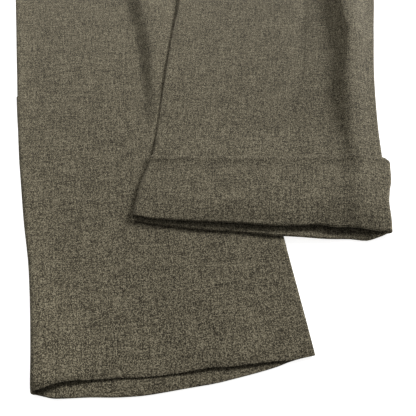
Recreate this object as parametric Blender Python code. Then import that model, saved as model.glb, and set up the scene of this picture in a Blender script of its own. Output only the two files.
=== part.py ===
"""Pleated dress trousers laid flat on a table, front side up, the left leg crossed over the right.

X runs across the garment, Y from the hems to the waist and Z up. The origin is under the middle
of the garment, at table height. "Right" and "left" are the wearer's: the right leg lies at -X and
ends in a plain hem; the left leg lies over it and ends in a turn-up.

Each half of the garment (a leg with its half of the seat) is a flattened tube. A station is a
height above the lowest hem corner, and across runs from 0 at the side fold to 1 at the inner edge.
The front lies on top and turns under at the side fold, where the side seam joins it to the back.
"""
import math
from collections import namedtuple

import bmesh
import bpy

MM = 0.001

# --- Driving dimensions (metres) -----------------------------------------------------------
LENGTH = 1.0987  # lowest hem corner to the top of the back waistband
WALL = 0.0014  # cloth
TURN_UP_WALL = 0.0018  # the turn-up is doubled cloth
BAND_WALL = 0.0020  # the waistband is doubled and stiffened
SEAM_GAP = 0.0003
ROLL = 0.0036  # how far a soft fold edge rounds in from the outline
LAID_HEIGHT = 0.0038  # underside to top where the two plies lie on each other
EDGE_SWELL = 0.0016  # extra height where the cloth springs back beside a fold edge
EDGE_SWELL_AT = 0.010
EDGE_SWELL_WIDTH = 0.013
SEAT_EXTRA = 0.0012  # the seat lies a little thicker than the legs
CROSSING_LIFT = 0.0064  # how high the right leg carries the left one
CROSSING_SLOPE = 0.056  # width over which the left leg sinks back to the table
CROSSING_SHOULDER = 0.004  # it stays up this far past the right leg's edge
TURN_UP_HEIGHT = 0.0695
TURN_UP_SLOPE = 0.034  # length over which the leg sinks off its turn-up
TURN_UP_LIP = 0.0026  # the folded bottom edge, which closes round the end of the leg
HEM_ROUND = 0.0010
HEM_DIP_REACH = 0.150  # the hem's curve fades out this far up the leg
PLAIN_GAPE = 0.0088  # how far the plain hem's front stands up off its back
TURNED_GAPE = 0.0052
HEM_TURN = 0.040  # the cloth is doubled this far up inside the plain hem
HEM_EXTRA_WALL = 0.0007

FORK_STATION = 0.800  # where the two legs part
FORK_BLEND = 0.032
WAIST_STATION = 1.046  # waist seam at the middle of each half
BAND_HEIGHT = 0.040
BACK_RISE = 0.018  # the back waist stands this much above the front waist
LOOP_THICKNESS = 0.0014
LOOP_WIDTH = 0.010
LOOP_TAIL = 0.008  # a belt loop reaches this far below the waistband
LOOP_ARCH = 0.0012
UNDER_LOOP_SPACE = 0.0018  # room for the back belt loops between waistband and table

PLEAT_RISE = 0.0024
PLEAT_DROP = 0.0042  # width of the step at a pleat's folded edge
PLEAT_SPREAD = 0.030
FLY_WIDTH = 0.038
FLY_LENGTH = 0.185
FLY_WALL = 0.0010
TAB_LENGTH = 0.042
TAB_CLIMB = 0.014
BUTTON_RADIUS = 0.0085
BUTTON_THICKNESS = 0.0030
BUTTON_HOLE_RADIUS = 0.0010
BUTTON_HOLE_OFFSET = 0.0019
POCKET_EDGE_WIDTH = 0.007
POCKET_EDGE_WALL = 0.0010

WOOL = (0.122, 0.107, 0.076)
HORN = (0.045, 0.033, 0.022)

# --- Outlines of the two halves, in millimetres ---------------------------------------------
Outline = namedtuple("Outline", "station outer_x outer_h inner_x inner_h")
RIGHT_OUTLINE = (
    Outline(station=19, outer_x=-104.0, outer_h=5, inner_x=108.0, inner_h=33),
    Outline(station=119, outer_x=-120.0, outer_h=106, inner_x=93.0, inner_h=131),
    Outline(station=239, outer_x=-151.0, outer_h=226, inner_x=75.0, inner_h=252),
    Outline(station=355, outer_x=-175.0, outer_h=344, inner_x=59.0, inner_h=365),
    Outline(station=461, outer_x=-196.0, outer_h=453, inner_x=43.0, inner_h=468),
    Outline(station=629, outer_x=-231.0, outer_h=625, inner_x=16.0, inner_h=632),
    Outline(station=730, outer_x=-252.0, outer_h=729, inner_x=-0.8, inner_h=731),
    Outline(station=800, outer_x=-265.0, outer_h=800, inner_x=-0.15, inner_h=800),
    Outline(station=872, outer_x=-273.0, outer_h=872, inner_x=-0.15, inner_h=872),
    Outline(station=965, outer_x=-258.0, outer_h=968, inner_x=-0.15, inner_h=962),
    Outline(station=1046, outer_x=-221.0, outer_h=1052, inner_x=-0.15, inner_h=1040),
    Outline(station=1088, outer_x=-217.0, outer_h=1094, inner_x=-0.15, inner_h=1082),
)
LEFT_OUTLINE = (
    Outline(station=146, outer_x=184.9, outer_h=142, inner_x=-37.6, inner_h=150),
    Outline(station=182, outer_x=186.0, outer_h=181, inner_x=-33.4, inner_h=184),
    Outline(station=218, outer_x=187.4, outer_h=218, inner_x=-25.0, inner_h=218),
    Outline(station=272, outer_x=193.0, outer_h=272, inner_x=-20.8, inner_h=273),
    Outline(station=326, outer_x=198.0, outer_h=325, inner_x=-15.8, inner_h=328),
    Outline(station=386, outer_x=206.0, outer_h=385, inner_x=-11.7, inner_h=387),
    Outline(station=450, outer_x=216.4, outer_h=451, inner_x=-6.1, inner_h=449),
    Outline(station=629, outer_x=241.0, outer_h=628, inner_x=-1.0, inner_h=630),
    Outline(station=730, outer_x=256.0, outer_h=729, inner_x=1.6, inner_h=731),
    Outline(station=800, outer_x=266.0, outer_h=800, inner_x=0.15, inner_h=800),
    Outline(station=872, outer_x=273.0, outer_h=872, inner_x=0.15, inner_h=872),
    Outline(station=965, outer_x=258.0, outer_h=968, inner_x=0.15, inner_h=962),
    Outline(station=1046, outer_x=221.0, outer_h=1052, inner_x=0.15, inner_h=1040),
    Outline(station=1088, outer_x=217.0, outer_h=1094, inner_x=0.15, inner_h=1082),
)

# The lines along which each front is folded: the side pleat and the crease pleat, by station (mm).
FoldLine = namedtuple("FoldLine", "station side_pleat crease_pleat")
RIGHT_FOLDS = (
    FoldLine(station=19, side_pleat=0.30, crease_pleat=0.53),
    FoldLine(station=230, side_pleat=0.36, crease_pleat=0.55),
    FoldLine(station=450, side_pleat=0.42, crease_pleat=0.55),
    FoldLine(station=1046, side_pleat=0.44, crease_pleat=0.60),
    FoldLine(station=1088, side_pleat=0.44, crease_pleat=0.60),
)
LEFT_FOLDS = (
    FoldLine(station=146, side_pleat=0.130, crease_pleat=0.44),
    FoldLine(station=223, side_pleat=0.137, crease_pleat=0.45),
    FoldLine(station=327, side_pleat=0.142, crease_pleat=0.46),
    FoldLine(station=421, side_pleat=0.181, crease_pleat=0.48),
    FoldLine(station=640, side_pleat=0.270, crease_pleat=0.53),
    FoldLine(station=1046, side_pleat=0.44, crease_pleat=0.60),
    FoldLine(station=1088, side_pleat=0.44, crease_pleat=0.60),
)

# Steps are raised on the side of the outer edge and drop towards the inner edge. The table gives
# how much of PLEAT_RISE is left at each station (mm).
PleatStrength = namedtuple("PleatStrength", "station side_pleat crease_pleat")
RIGHT_PLEATS = (
    PleatStrength(station=19, side_pleat=0.0, crease_pleat=0.0),
    PleatStrength(station=790, side_pleat=0.0, crease_pleat=0.0),
    PleatStrength(station=1000, side_pleat=0.95, crease_pleat=1.0),
    PleatStrength(station=1046, side_pleat=0.6, crease_pleat=0.6),
)
LEFT_PLEATS = (
    PleatStrength(station=146, side_pleat=0.0, crease_pleat=0.0),
    PleatStrength(station=214, side_pleat=0.25, crease_pleat=0.0),
    PleatStrength(station=262, side_pleat=0.85, crease_pleat=0.0),
    PleatStrength(station=400, side_pleat=1.1, crease_pleat=0.0),
    PleatStrength(station=790, side_pleat=0.5, crease_pleat=0.0),
    PleatStrength(station=1000, side_pleat=0.95, crease_pleat=1.0),
    PleatStrength(station=1046, side_pleat=0.6, crease_pleat=0.6),
)

# Long soft troughs in the fronts; stations, depth and half width in millimetres.
Trough = namedtuple("Trough", "low_station low_across high_station high_across depth half_width")
RIGHT_TROUGHS = (
    Trough(low_station=215, low_across=0.548, high_station=620, high_across=0.55, depth=1.0,
           half_width=15),
    Trough(low_station=350, low_across=0.425, high_station=560, high_across=0.46, depth=0.7,
           half_width=10),
)
LEFT_TROUGHS = (
    Trough(low_station=205, low_across=0.42, high_station=470, high_across=0.345, depth=1.0,
           half_width=17),
    Trough(low_station=235, low_across=0.205, high_station=520, high_across=0.26, depth=1.2,
           half_width=12),
)

# The shape of each hem across the leg: share of the full gape between front and back, and how far
# the front's and the back's edges dip below the straight line between the hem's ends (mm).
HemShape = namedtuple("HemShape", "across gape front_dip back_dip")
PLAIN_HEM = (
    HemShape(across=0.000, gape=0.45, front_dip=0.5, back_dip=1.0),
    HemShape(across=0.035, gape=0.78, front_dip=0.0, back_dip=3.6),
    HemShape(across=0.085, gape=1.00, front_dip=-1.8, back_dip=7.0),
    HemShape(across=0.130, gape=1.00, front_dip=-2.4, back_dip=8.0),
    HemShape(across=0.200, gape=0.84, front_dip=-2.0, back_dip=9.3),
    HemShape(across=0.310, gape=0.66, front_dip=-0.2, back_dip=12.3),
    HemShape(across=0.400, gape=0.55, front_dip=1.6, back_dip=13.4),
    HemShape(across=0.490, gape=0.47, front_dip=2.4, back_dip=12.7),
    HemShape(across=0.710, gape=0.38, front_dip=3.0, back_dip=9.6),
    HemShape(across=0.810, gape=0.34, front_dip=1.8, back_dip=6.8),
    HemShape(across=0.900, gape=0.22, front_dip=0.2, back_dip=2.6),
    HemShape(across=1.000, gape=0.05, front_dip=0.0, back_dip=0.0),
)
TURNED_HEM = (
    HemShape(across=0.000, gape=0.60, front_dip=0.0, back_dip=0.5),
    HemShape(across=0.045, gape=0.85, front_dip=0.9, back_dip=4.8),
    HemShape(across=0.105, gape=1.00, front_dip=1.1, back_dip=8.0),
    HemShape(across=0.165, gape=1.00, front_dip=1.2, back_dip=7.2),
    HemShape(across=0.225, gape=1.00, front_dip=0.9, back_dip=7.4),
    HemShape(across=0.275, gape=1.00, front_dip=-1.3, back_dip=7.7),
    HemShape(across=0.330, gape=0.95, front_dip=0.6, back_dip=8.0),
    HemShape(across=0.435, gape=0.85, front_dip=3.6, back_dip=9.4),
    HemShape(across=0.590, gape=0.80, front_dip=3.9, back_dip=9.1),
    HemShape(across=0.710, gape=0.80, front_dip=3.9, back_dip=7.3),
    HemShape(across=0.810, gape=0.75, front_dip=2.4, back_dip=5.7),
    HemShape(across=0.920, gape=0.60, front_dip=1.4, back_dip=3.0),
    HemShape(across=1.000, gape=0.25, front_dip=-1.2, back_dip=-0.5),
)

# How the turn-up stands off the leg at its two folds; rise above its bottom edge, all in mm.
Flare = namedtuple("Flare", "rise outer inner")
TURN_UP_FLARE = (
    Flare(rise=0.0, outer=0.0, inner=0.3),
    Flare(rise=30.0, outer=0.3, inner=0.0),
    Flare(rise=48.0, outer=3.2, inner=0.0),
    Flare(rise=63.5, outer=4.9, inner=0.5),
    Flare(rise=69.5, outer=1.0, inner=0.2),
)

# --- Rows of the panels, in millimetres -----------------------------------------------------
PLAIN_HEM_ROWS = (0.0, 1.0, 10, 22, 38, 40.5, 58, 78, 100)
ABOVE_TURN_UP_ROWS = (TURN_UP_HEIGHT / MM + 5, 86, 103, 128)
INSIDE_TURN_UP_ROWS = (16, 32, 48, 63.5, 69.5)
SEAT_ROWS = (760, 780, 800, 816, 836, 872, 918, 965, 1005, 1030)
LEG_ROW_SPACING = 42.0

TOP_COLUMNS = (4, 5, 7)  # spaces outside the side pleat, between the pleats, inside the crease
BACK_COLUMNS = (2, 5, 7)
TURN_ANGLES = (-90, -45, 0, 45)


class Curve:
    """A smooth line through a table's values that doesn't overshoot them."""

    def __init__(self, places, values):
        self.places = list(places)
        self.values = list(values)
        rises = [
            (self.values[i + 1] - self.values[i]) / (self.places[i + 1] - self.places[i])
            for i in range(len(self.places) - 1)
        ]
        self.slopes = [rises[0]]
        for before, after in zip(rises, rises[1:]):
            together = before * after > 0
            self.slopes.append(2 * before * after / (before + after) if together else 0.0)
        self.slopes.append(rises[-1])

    def __call__(self, place):
        place = min(max(place, self.places[0]), self.places[-1])
        index = 0
        while index < len(self.places) - 2 and place > self.places[index + 1]:
            index += 1
        span = self.places[index + 1] - self.places[index]
        t = (place - self.places[index]) / span
        start = (1 + 2 * t) * (1 - t) ** 2 * self.values[index]
        start += t * (1 - t) ** 2 * span * self.slopes[index]
        end = t * t * (3 - 2 * t) * self.values[index + 1]
        end -= t * t * (1 - t) * span * self.slopes[index + 1]
        return start + end


def table_curve(rows, column, place="station"):
    """The curve of one column of a table in millimetres, as a function of another column."""
    return Curve([getattr(row, place) for row in rows], [getattr(row, column) for row in rows])


def smooth_step(value):
    value = min(max(value, 0.0), 1.0)
    return value * value * (3 - 2 * value)


class Half:
    """One leg with its half of the seat, as a flattened tube."""

    def __init__(self, outline, folds, pleats, troughs, hem_shape, gape, gape_reach):
        self.gape = gape
        self.gape_reach = gape_reach
        self.mouth = table_curve(hem_shape, "gape", place="across")
        self.front_dip = table_curve(hem_shape, "front_dip", place="across")
        self.back_dip = table_curve(hem_shape, "back_dip", place="across")
        self.hem = outline[0].station * MM
        self.outer_x = table_curve(outline, "outer_x")
        self.outer_h = table_curve(outline, "outer_h")
        self.inner_x = table_curve(outline, "inner_x")
        self.inner_h = table_curve(outline, "inner_h")
        self.side_line = table_curve(folds, "side_pleat")
        self.crease_line = table_curve(folds, "crease_pleat")
        self.side_strength = table_curve(pleats, "side_pleat")
        self.crease_strength = table_curve(pleats, "crease_pleat")
        self.troughs = troughs

    def width(self, station):
        dx = self.inner_x(station / MM) - self.outer_x(station / MM)
        dh = self.inner_h(station / MM) - self.outer_h(station / MM)
        return math.hypot(dx, dh) * MM

    def place(self, across, station):
        """Plan position, x and height above the lowest hem corner, before any hem curve."""
        at = station / MM
        x = self.outer_x(at) + (self.inner_x(at) - self.outer_x(at)) * across
        h = self.outer_h(at) + (self.inner_h(at) - self.outer_h(at)) * across
        return x * MM, h * MM

    def underside(self, across, station):
        """Height of the leg's underside over the table."""
        return UNDER_LOOP_SPACE * smooth_step((station - WAIST_STATION + 0.060) / 0.050)

    def side_wrap(self, station):
        """How far the front turns under at the side fold before it meets the back."""
        return 0.008

    def step(self, across, station, line, strength):
        """Height that one folded pleat adds: full beside its edge, fading towards the side."""
        from_edge = (line - across) * self.width(station)
        if from_edge <= -PLEAT_DROP / 2:
            return 0.0
        up = smooth_step((from_edge + PLEAT_DROP / 2) / PLEAT_DROP)
        fade = 1 - smooth_step((from_edge - PLEAT_DROP) / PLEAT_SPREAD)
        return PLEAT_RISE * strength * up * fade

    def height(self, across, station):
        """Height of the top ply's upper face over the leg's underside."""
        width = self.width(station)
        across = min(max(across, 0.0), 1.0)
        from_edge = min(across, 1 - across) * width
        seat = smooth_step((station - FORK_STATION + 0.02) / 0.08)
        swell = math.exp(-((from_edge - EDGE_SWELL_AT) / EDGE_SWELL_WIDTH) ** 2)
        if across > 0.5:
            swell *= 1 - seat
        total = LAID_HEIGHT + EDGE_SWELL * swell + SEAT_EXTRA * seat
        rise = station - self.hem
        if rise < self.gape_reach:
            total += self.gape * self.mouth(across) * (
                0.5 + 0.5 * math.cos(math.pi * max(rise, 0.0) / self.gape_reach))
        at = station / MM
        if station <= WAIST_STATION:
            total += self.step(across, station, self.side_line(at), self.side_strength(at))
            total += self.step(across, station, self.crease_line(at), self.crease_strength(at))
        for trough in self.troughs:
            length = trough.high_station - trough.low_station
            along = (at - trough.low_station) / length
            if -0.15 < along < 1.15:
                line = trough.low_across + (trough.high_across - trough.low_across) * along
                away = (across - line) * width / (trough.half_width * MM)
                ends = smooth_step((along + 0.15) / 0.3) * smooth_step((1.15 - along) / 0.3)
                total -= trough.depth * MM * ends * math.exp(-away * away)
        return max(total, 2 * WALL + SEAM_GAP)

    def hem_shift(self, across, station, underneath):
        """How far a point slides towards the hem (or, at the waist, away from it)."""
        dip = self.front_dip(across) * (1 - underneath) + self.back_dip(across) * underneath
        shift = -dip * MM * (1 - smooth_step((station - self.hem) / HEM_DIP_REACH))
        at_waist = smooth_step((station - 0.900) / (WAIST_STATION - 0.900))
        return shift + BACK_RISE * across * at_waist * underneath

    def point(self, across, station, z, underneath=0.0, slide=0.0):
        """A point of the garment; slide moves it along the row, away from the side fold."""
        x, h = self.place(across, station)
        start, end = self.place(0.0, station), self.place(1.0, station)
        width = self.width(station)
        x += (end[0] - start[0]) / width * slide
        h += (end[1] - start[1]) / width * slide
        h += self.hem_shift(across, station, underneath)
        return (x, h - LENGTH / 2, z)

    def top_lines(self, station):
        """Places across of the top columns, with a close pair at each pleat's folded edge."""
        width = self.width(station)
        half_drop = PLEAT_DROP / 2 / width
        side = self.side_line(station / MM)
        crease = self.crease_line(station / MM)
        roll = ROLL / width
        stretches = (
            (roll, side - half_drop),
            (side + half_drop, crease - half_drop),
            (crease + half_drop, 1 - roll),
        )
        lines = []
        for (start, end), spaces, crowding in zip(stretches, TOP_COLUMNS, (1.5, 1.0, 1.0)):
            lines += [start + (end - start) * (i / spaces) ** crowding for i in range(spaces + 1)]
        return lines

    def back_lines(self, station):
        """Places across of the back's columns, which follow the front's."""
        width = self.width(station)
        ends = [
            (self.side_wrap(station) + SEAM_GAP) / width,
            self.side_line(station / MM),
            self.crease_line(station / MM),
            1 - ROLL / width,
        ]
        lines = [ends[0]]
        for start, end, spaces in zip(ends, ends[1:], BACK_COLUMNS):
            lines += [start + (end - start) * i / spaces for i in range(1, spaces + 1)]
        return lines

    def side_turn(self, station, out, flare=0.0):
        """The rounded side fold, from the underside up to the top."""
        width = self.width(station)
        roll = ROLL / width
        base = self.underside(roll, station)
        half = self.height(roll, station) / 2
        points = []
        for degrees in TURN_ANGLES:
            angle = math.radians(degrees)
            slide = -(ROLL + out) * math.cos(angle) - flare
            z = base + half + (half + out) * math.sin(angle)
            points.append(self.point(roll, station, z, (1 - math.sin(angle)) / 2, slide))
        return points

    def inner_turn(self, station, out, over, flare=0.0):
        """The rounded inner edge: a fold below the fork, flat against the other half above it."""
        width = self.width(station)
        roll = ROLL / width
        base = self.underside(1 - roll, station)
        full = self.height(1 - roll, station)
        folded = 1 - smooth_step((station - FORK_STATION) / FORK_BLEND)
        points = []
        for degrees in (45, None):
            sine = SEAM_GAP / full if degrees is None else math.sin(math.radians(degrees))
            cosine = 1.0 if degrees is None else math.cos(math.radians(degrees))
            slide = ROLL * cosine + folded * (out * cosine + flare)
            round_z = full / 2 + over * (full / 2 + out) * sine
            flat_z = full + out if over > 0 else -out
            z = base + folded * round_z + (1 - folded) * flat_z
            points.append(self.point(1 - roll, station, z, (1 - over) / 2, slide))
        return points

    def top_point(self, across, station, out):
        z = self.underside(across, station) + self.height(across, station) + out
        return self.point(across, station, z)

    def laid_point(self, across, station, out):
        """A point over the front's own faces, for a piece that lies on the front."""
        lines = self.top_lines(station)
        right = next((i for i, line in enumerate(lines) if line >= across), len(lines) - 1)
        right = max(right, 1)
        start, end = lines[right - 1], lines[right]
        share = (across - start) / (end - start)
        low, high = (self.top_point(line, station, out)[2] for line in (start, end))
        return self.point(across, station, low + (high - low) * share)

    def under_point(self, across, station, out):
        return self.point(across, station, self.underside(across, station) - out, 1.0)

    def front_row(self, station, out, flare=(0.0, 0.0)):
        """A row of the front: under the side fold, round it, and over the top to the inner edge."""
        width = self.width(station)
        wrap = self.side_wrap(station) / width
        row = [self.under_point(wrap, station, out)]
        row += self.side_turn(station, out, flare[0])
        for across in self.top_lines(station):
            point = self.top_point(across, station, out)
            near = flare[0] * (1 - smooth_step(across * width / 0.030))
            away = flare[1] * (1 - smooth_step((1 - across) * width / 0.030))
            row.append(self.slid(point, station, away - near))
        return row + self.inner_turn(station, out, 1.0, flare[1])

    def slid(self, point, station, distance):
        start, end = self.place(0.0, station), self.place(1.0, station)
        width = self.width(station)
        x = point[0] + (end[0] - start[0]) / width * distance
        y = point[1] + (end[1] - start[1]) / width * distance
        return (x, y, point[2])

    def back_row(self, station, out, flare=(0.0, 0.0)):
        """A row of the back, from the side seam to the inner edge."""
        width = self.width(station)
        row = []
        for across in self.back_lines(station):
            point = self.under_point(across, station, out)
            away = flare[1] * (1 - smooth_step((1 - across) * width / 0.030))
            row.append(self.slid(point, station, away))
        return row + self.inner_turn(station, out, -1.0, flare[1])


class RightHalf(Half):
    """The leg that lies on the table and ends in a plain hem, lower at the back."""

    def side_wrap(self, station):
        return 0.008 + 0.0105 * (1 - smooth_step((station - self.hem) / 0.300))


class LeftHalf(Half):
    """The leg that crosses over the right one and ends in a turn-up."""

    def __init__(self, *tables, carrier, **sizes):
        super().__init__(*tables, **sizes)
        self.carrier_edge = table_curve(carrier, "inner_x", place="inner_h")

    def underside(self, across, station):
        x, h = self.place(across, station)
        past_edge = x - self.carrier_edge(h / MM) * MM - CROSSING_SHOULDER
        lift = CROSSING_LIFT * (1 - smooth_step(past_edge / CROSSING_SLOPE))
        lift *= 1 - smooth_step((h - 0.735) / 0.055)
        rise = station - self.hem
        on_turn_up = 1 - smooth_step((rise - TURN_UP_HEIGHT - 0.003) / TURN_UP_SLOPE)
        lift += (TURN_UP_WALL + SEAM_GAP) * on_turn_up
        return lift + super().underside(across, station)


RIGHT = RightHalf(RIGHT_OUTLINE, RIGHT_FOLDS, RIGHT_PLEATS, RIGHT_TROUGHS, PLAIN_HEM,
                  gape=PLAIN_GAPE, gape_reach=0.140)
LEFT = LeftHalf(LEFT_OUTLINE, LEFT_FOLDS, LEFT_PLEATS, LEFT_TROUGHS, TURNED_HEM,
                gape=TURNED_GAPE, gape_reach=0.125, carrier=RIGHT_OUTLINE)


# --- Making solids ----------------------------------------------------------------------------
def cloth_material(name, colour=WOOL, roughness=0.9):
    material = bpy.data.materials.new(name)
    material.use_nodes = True
    shader = material.node_tree.nodes["Principled BSDF"]
    shader.inputs["Base Color"].default_value = (*colour, 1.0)
    shader.inputs["Roughness"].default_value = roughness
    shader.inputs["Metallic"].default_value = 0.0
    material.diffuse_color = (*colour, 1.0)
    return material


def add_object(name, work, material):
    """Turn a bmesh into a named object with smooth shading and crisp seams."""
    bmesh.ops.recalc_face_normals(work, faces=work.faces)
    mesh = bpy.data.meshes.new(name)
    work.to_mesh(mesh)
    work.free()
    mesh.shade_smooth()
    mesh.set_sharp_from_angle(angle=math.radians(40))
    mesh.materials.append(material)
    piece = bpy.data.objects.new(name, mesh)
    bpy.context.scene.collection.objects.link(piece)
    piece.parent = garment
    return piece


def wall(name, outside, inside, colour=WOOL):
    """A closed wall between two grids of points that have the same rows and columns."""
    work = bmesh.new()
    grids = []
    for grid in (outside, inside):
        grids.append([[work.verts.new(point) for point in row] for row in grid])
    rows, columns = len(outside), len(outside[0])
    for grid in grids:
        for r in range(rows - 1):
            for c in range(columns - 1):
                work.faces.new((grid[r][c], grid[r][c + 1], grid[r + 1][c + 1], grid[r + 1][c]))
    face, back = grids
    for c in range(columns - 1):
        for r in (0, rows - 1):
            work.faces.new((face[r][c], face[r][c + 1], back[r][c + 1], back[r][c]))
    for r in range(rows - 1):
        for c in (0, columns - 1):
            work.faces.new((face[r][c], face[r + 1][c], back[r + 1][c], back[r][c]))
    return add_object(name, work, cloth_material(name, colour))


def plain_leg_stations():
    """Stations of the right half's rows, from hem to waist seam."""
    rows = [RIGHT.hem / MM + rise for rise in PLAIN_HEM_ROWS]
    return with_leg_rows(rows)


def turned_leg_stations():
    """Stations of the left half's rows, from inside the turn-up's lip to the waist seam."""
    rises = (TURN_UP_LIP / MM + 0.8,) + INSIDE_TURN_UP_ROWS + ABOVE_TURN_UP_ROWS
    return with_leg_rows([LEFT.hem / MM + rise for rise in rises])


def with_leg_rows(rows):
    count = round((SEAT_ROWS[0] - rows[-1]) / LEG_ROW_SPACING)
    step = (SEAT_ROWS[0] - rows[-1]) / count
    rows += [rows[-1] + step * i for i in range(1, count)]
    rows += list(SEAT_ROWS) + [WAIST_STATION / MM]
    return [row * MM for row in rows]


def build_right_panels():
    stations = plain_leg_stations()
    outs = []
    for station in stations:
        rise = station - RIGHT.hem
        pinch = 0.0005 if rise < HEM_ROUND / 2 else 0.0
        extra = HEM_EXTRA_WALL if rise < HEM_TURN else 0.0
        outs.append((-pinch, -WALL - extra + pinch))
    for name, row in (("front_right", RIGHT.front_row), ("back_right", RIGHT.back_row)):
        outside = [row(station, out[0]) for station, out in zip(stations, outs)]
        inside = [row(station, out[1]) for station, out in zip(stations, outs)]
        wall(name, outside, inside)


def build_left_panels():
    stations = turned_leg_stations()
    for name, row in (("front_left", LEFT.front_row), ("back_left", LEFT.back_row)):
        outside = [row(station, 0.0) for station in stations]
        inside = [row(station, -WALL) for station in stations]
        wall(name, outside, inside)


def build_turn_up():
    """The turn-up's two halves; their bottom lip closes round the leg's end."""
    outer_flare = table_curve(TURN_UP_FLARE, "outer", place="rise")
    inner_flare = table_curve(TURN_UP_FLARE, "inner", place="rise")
    lip = TURN_UP_LIP / MM
    rounding = 0.0009
    full = SEAM_GAP + TURN_UP_WALL
    rows = [(0.0, full - rounding, -WALL + rounding)]
    rows += [(HEM_ROUND / MM, full, -WALL), (lip, full, -WALL), (lip + 0.3, full, SEAM_GAP)]
    rows += [(rise, full, SEAM_GAP) for rise in INSIDE_TURN_UP_ROWS]
    for name, make in (("cuff_front_left", LEFT.front_row), ("cuff_back_left", LEFT.back_row)):
        outside, inside = [], []
        for rise, out, inward in rows:
            station = LEFT.hem + rise * MM
            flare = (outer_flare(rise) * MM, inner_flare(rise) * MM)
            outside.append(make(station, out, flare))
            inside.append(make(station, inward, flare))
        wall(name, outside, inside)


def band_row(half, station, out, tab):
    """A waistband row: from the centre front over the top, round the side and under to the back."""
    width = half.width(station)
    row = []
    if tab:
        level = half.underside(1.0, station) + half.height(1.0, station)
        level += out + SEAM_GAP + BAND_WALL
        for beyond in (TAB_LENGTH, TAB_LENGTH / 2, 0.0):
            row.append(half.point(1.0, station, level, 0.0, beyond))
    else:
        row.append(half.top_point(1.0, station, out))
    near = width - TAB_CLIMB
    spread = [near + (0.040 - near) * i / 5 for i in range(6)]
    for from_side in spread + [0.030, 0.021, 0.012, ROLL]:
        row.append(half.top_point(from_side / width, station, out))
    row += reversed(half.side_turn(station, out))
    for i in range(1, 9):
        across = (ROLL / width) + (1 - ROLL / width) * i / 8
        row.append(half.under_point(across, station, out))
    return row


def build_waistbands():
    bottom = WAIST_STATION + SEAM_GAP
    stations = [bottom + BAND_HEIGHT * share for share in (0.0, 0.5, 1.0)]
    for name, half, tab in (
        ("waistband_right", RIGHT, False),
        ("waistband_left", LEFT, True),
    ):
        outside = [band_row(half, station, 0.0002, tab) for station in stations]
        inside = [band_row(half, station, 0.0002 - BAND_WALL, tab) for station in stations]
        wall(name, outside, inside)


def build_fly():
    """The fly flap lies on the left front beside the centre seam and ends in a J curve."""
    outside, inside = [], []
    for i in range(9):
        up = i / 8
        station = WAIST_STATION - FLY_LENGTH * (1 - up)
        reach = FLY_WIDTH * math.sin(math.pi / 2 * min(1.0, 0.25 + up * 2.2))
        width = LEFT.width(station)
        outer_row, inner_row = [], []
        for j in range(5):
            across = 1 - (0.0006 + reach * j / 4) / width
            outer_row.append(LEFT.laid_point(across, station, SEAM_GAP + FLY_WALL))
            inner_row.append(LEFT.laid_point(across, station, SEAM_GAP))
        outside.append(outer_row)
        inside.append(inner_row)
    wall("fly", outside, inside)


PocketLine = namedtuple("PocketLine", "station from_side")
POCKET_LINE = (
    PocketLine(station=882, from_side=9),
    PocketLine(station=930, from_side=16),
    PocketLine(station=985, from_side=28),
    PocketLine(station=1044, from_side=44),
)


def build_pocket_edges():
    """A narrow folded edge along each slanted side pocket."""
    mouth = table_curve(POCKET_LINE, "from_side")
    low, high = POCKET_LINE[0].station, POCKET_LINE[-1].station
    rows = [low] + [row for row in SEAT_ROWS if low < row < high] + [high]
    for name, half in (("pocket_edge_right", RIGHT), ("pocket_edge_left", LEFT)):
        outside, inside = [], []
        for at in rows:
            station = at * MM
            width = half.width(station)
            places = [(mouth(at) * MM + POCKET_EDGE_WIDTH * side) / width for side in (0, 0.5, 1)]
            outside.append(
                [half.laid_point(p, station, SEAM_GAP + POCKET_EDGE_WALL) for p in places])
            inside.append([half.laid_point(p, station, SEAM_GAP) for p in places])
        wall(name, outside, inside)


Loop = namedtuple("Loop", "half from_centre below")
LOOPS = (
    Loop(half=RIGHT, from_centre=0.098, below=False),
    Loop(half=LEFT, from_centre=0.098, below=False),
    Loop(half=RIGHT, from_centre=0.192, below=False),
    Loop(half=LEFT, from_centre=0.192, below=False),
    Loop(half=RIGHT, from_centre=0.105, below=True),
    Loop(half=LEFT, from_centre=0.105, below=True),
    Loop(half=LEFT, from_centre=0.0, below=True),
)
LOOP_ROWS = 7
LOOP_COLUMNS = (-1.0, 0.0, 1.0)


def build_belt_loops():
    """Belt loops stand over the waistband on top, and lie flat on the table underneath it."""
    bottom = WAIST_STATION - LOOP_TAIL
    top = WAIST_STATION + BAND_HEIGHT - 0.001
    band_middle = WAIST_STATION + BAND_HEIGHT / 2
    for number, loop in enumerate(LOOPS, start=1):
        outside, inside = [], []
        for i in range(LOOP_ROWS):
            along = i / (LOOP_ROWS - 1)
            station = bottom + (top - bottom) * along
            width = loop.half.width(station)
            middle = 1 - loop.from_centre / width
            arch = SEAM_GAP + 0.0002 + LOOP_ARCH * math.sin(math.pi * along)
            outer_row, inner_row = [], []
            for side in LOOP_COLUMNS:
                slide = side * LOOP_WIDTH / 2
                if loop.below:
                    outer_row.append(loop.half.point(middle, station, 0.0, 1.0, slide))
                    inner_row.append(loop.half.point(middle, station, LOOP_THICKNESS, 1.0, slide))
                else:
                    level = loop.half.underside(middle, station) + arch
                    level += max(loop.half.height(middle + slide / width, station),
                                 loop.half.height(middle + slide / width, band_middle))
                    inner_row.append(loop.half.point(middle, station, level, 0.0, slide))
                    outer_row.append(
                        loop.half.point(middle, station, level + LOOP_THICKNESS, 0.0, slide))
            outside.append(outer_row)
            inside.append(inner_row)
        wall("belt_loop_%d" % number, outside, inside)


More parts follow.
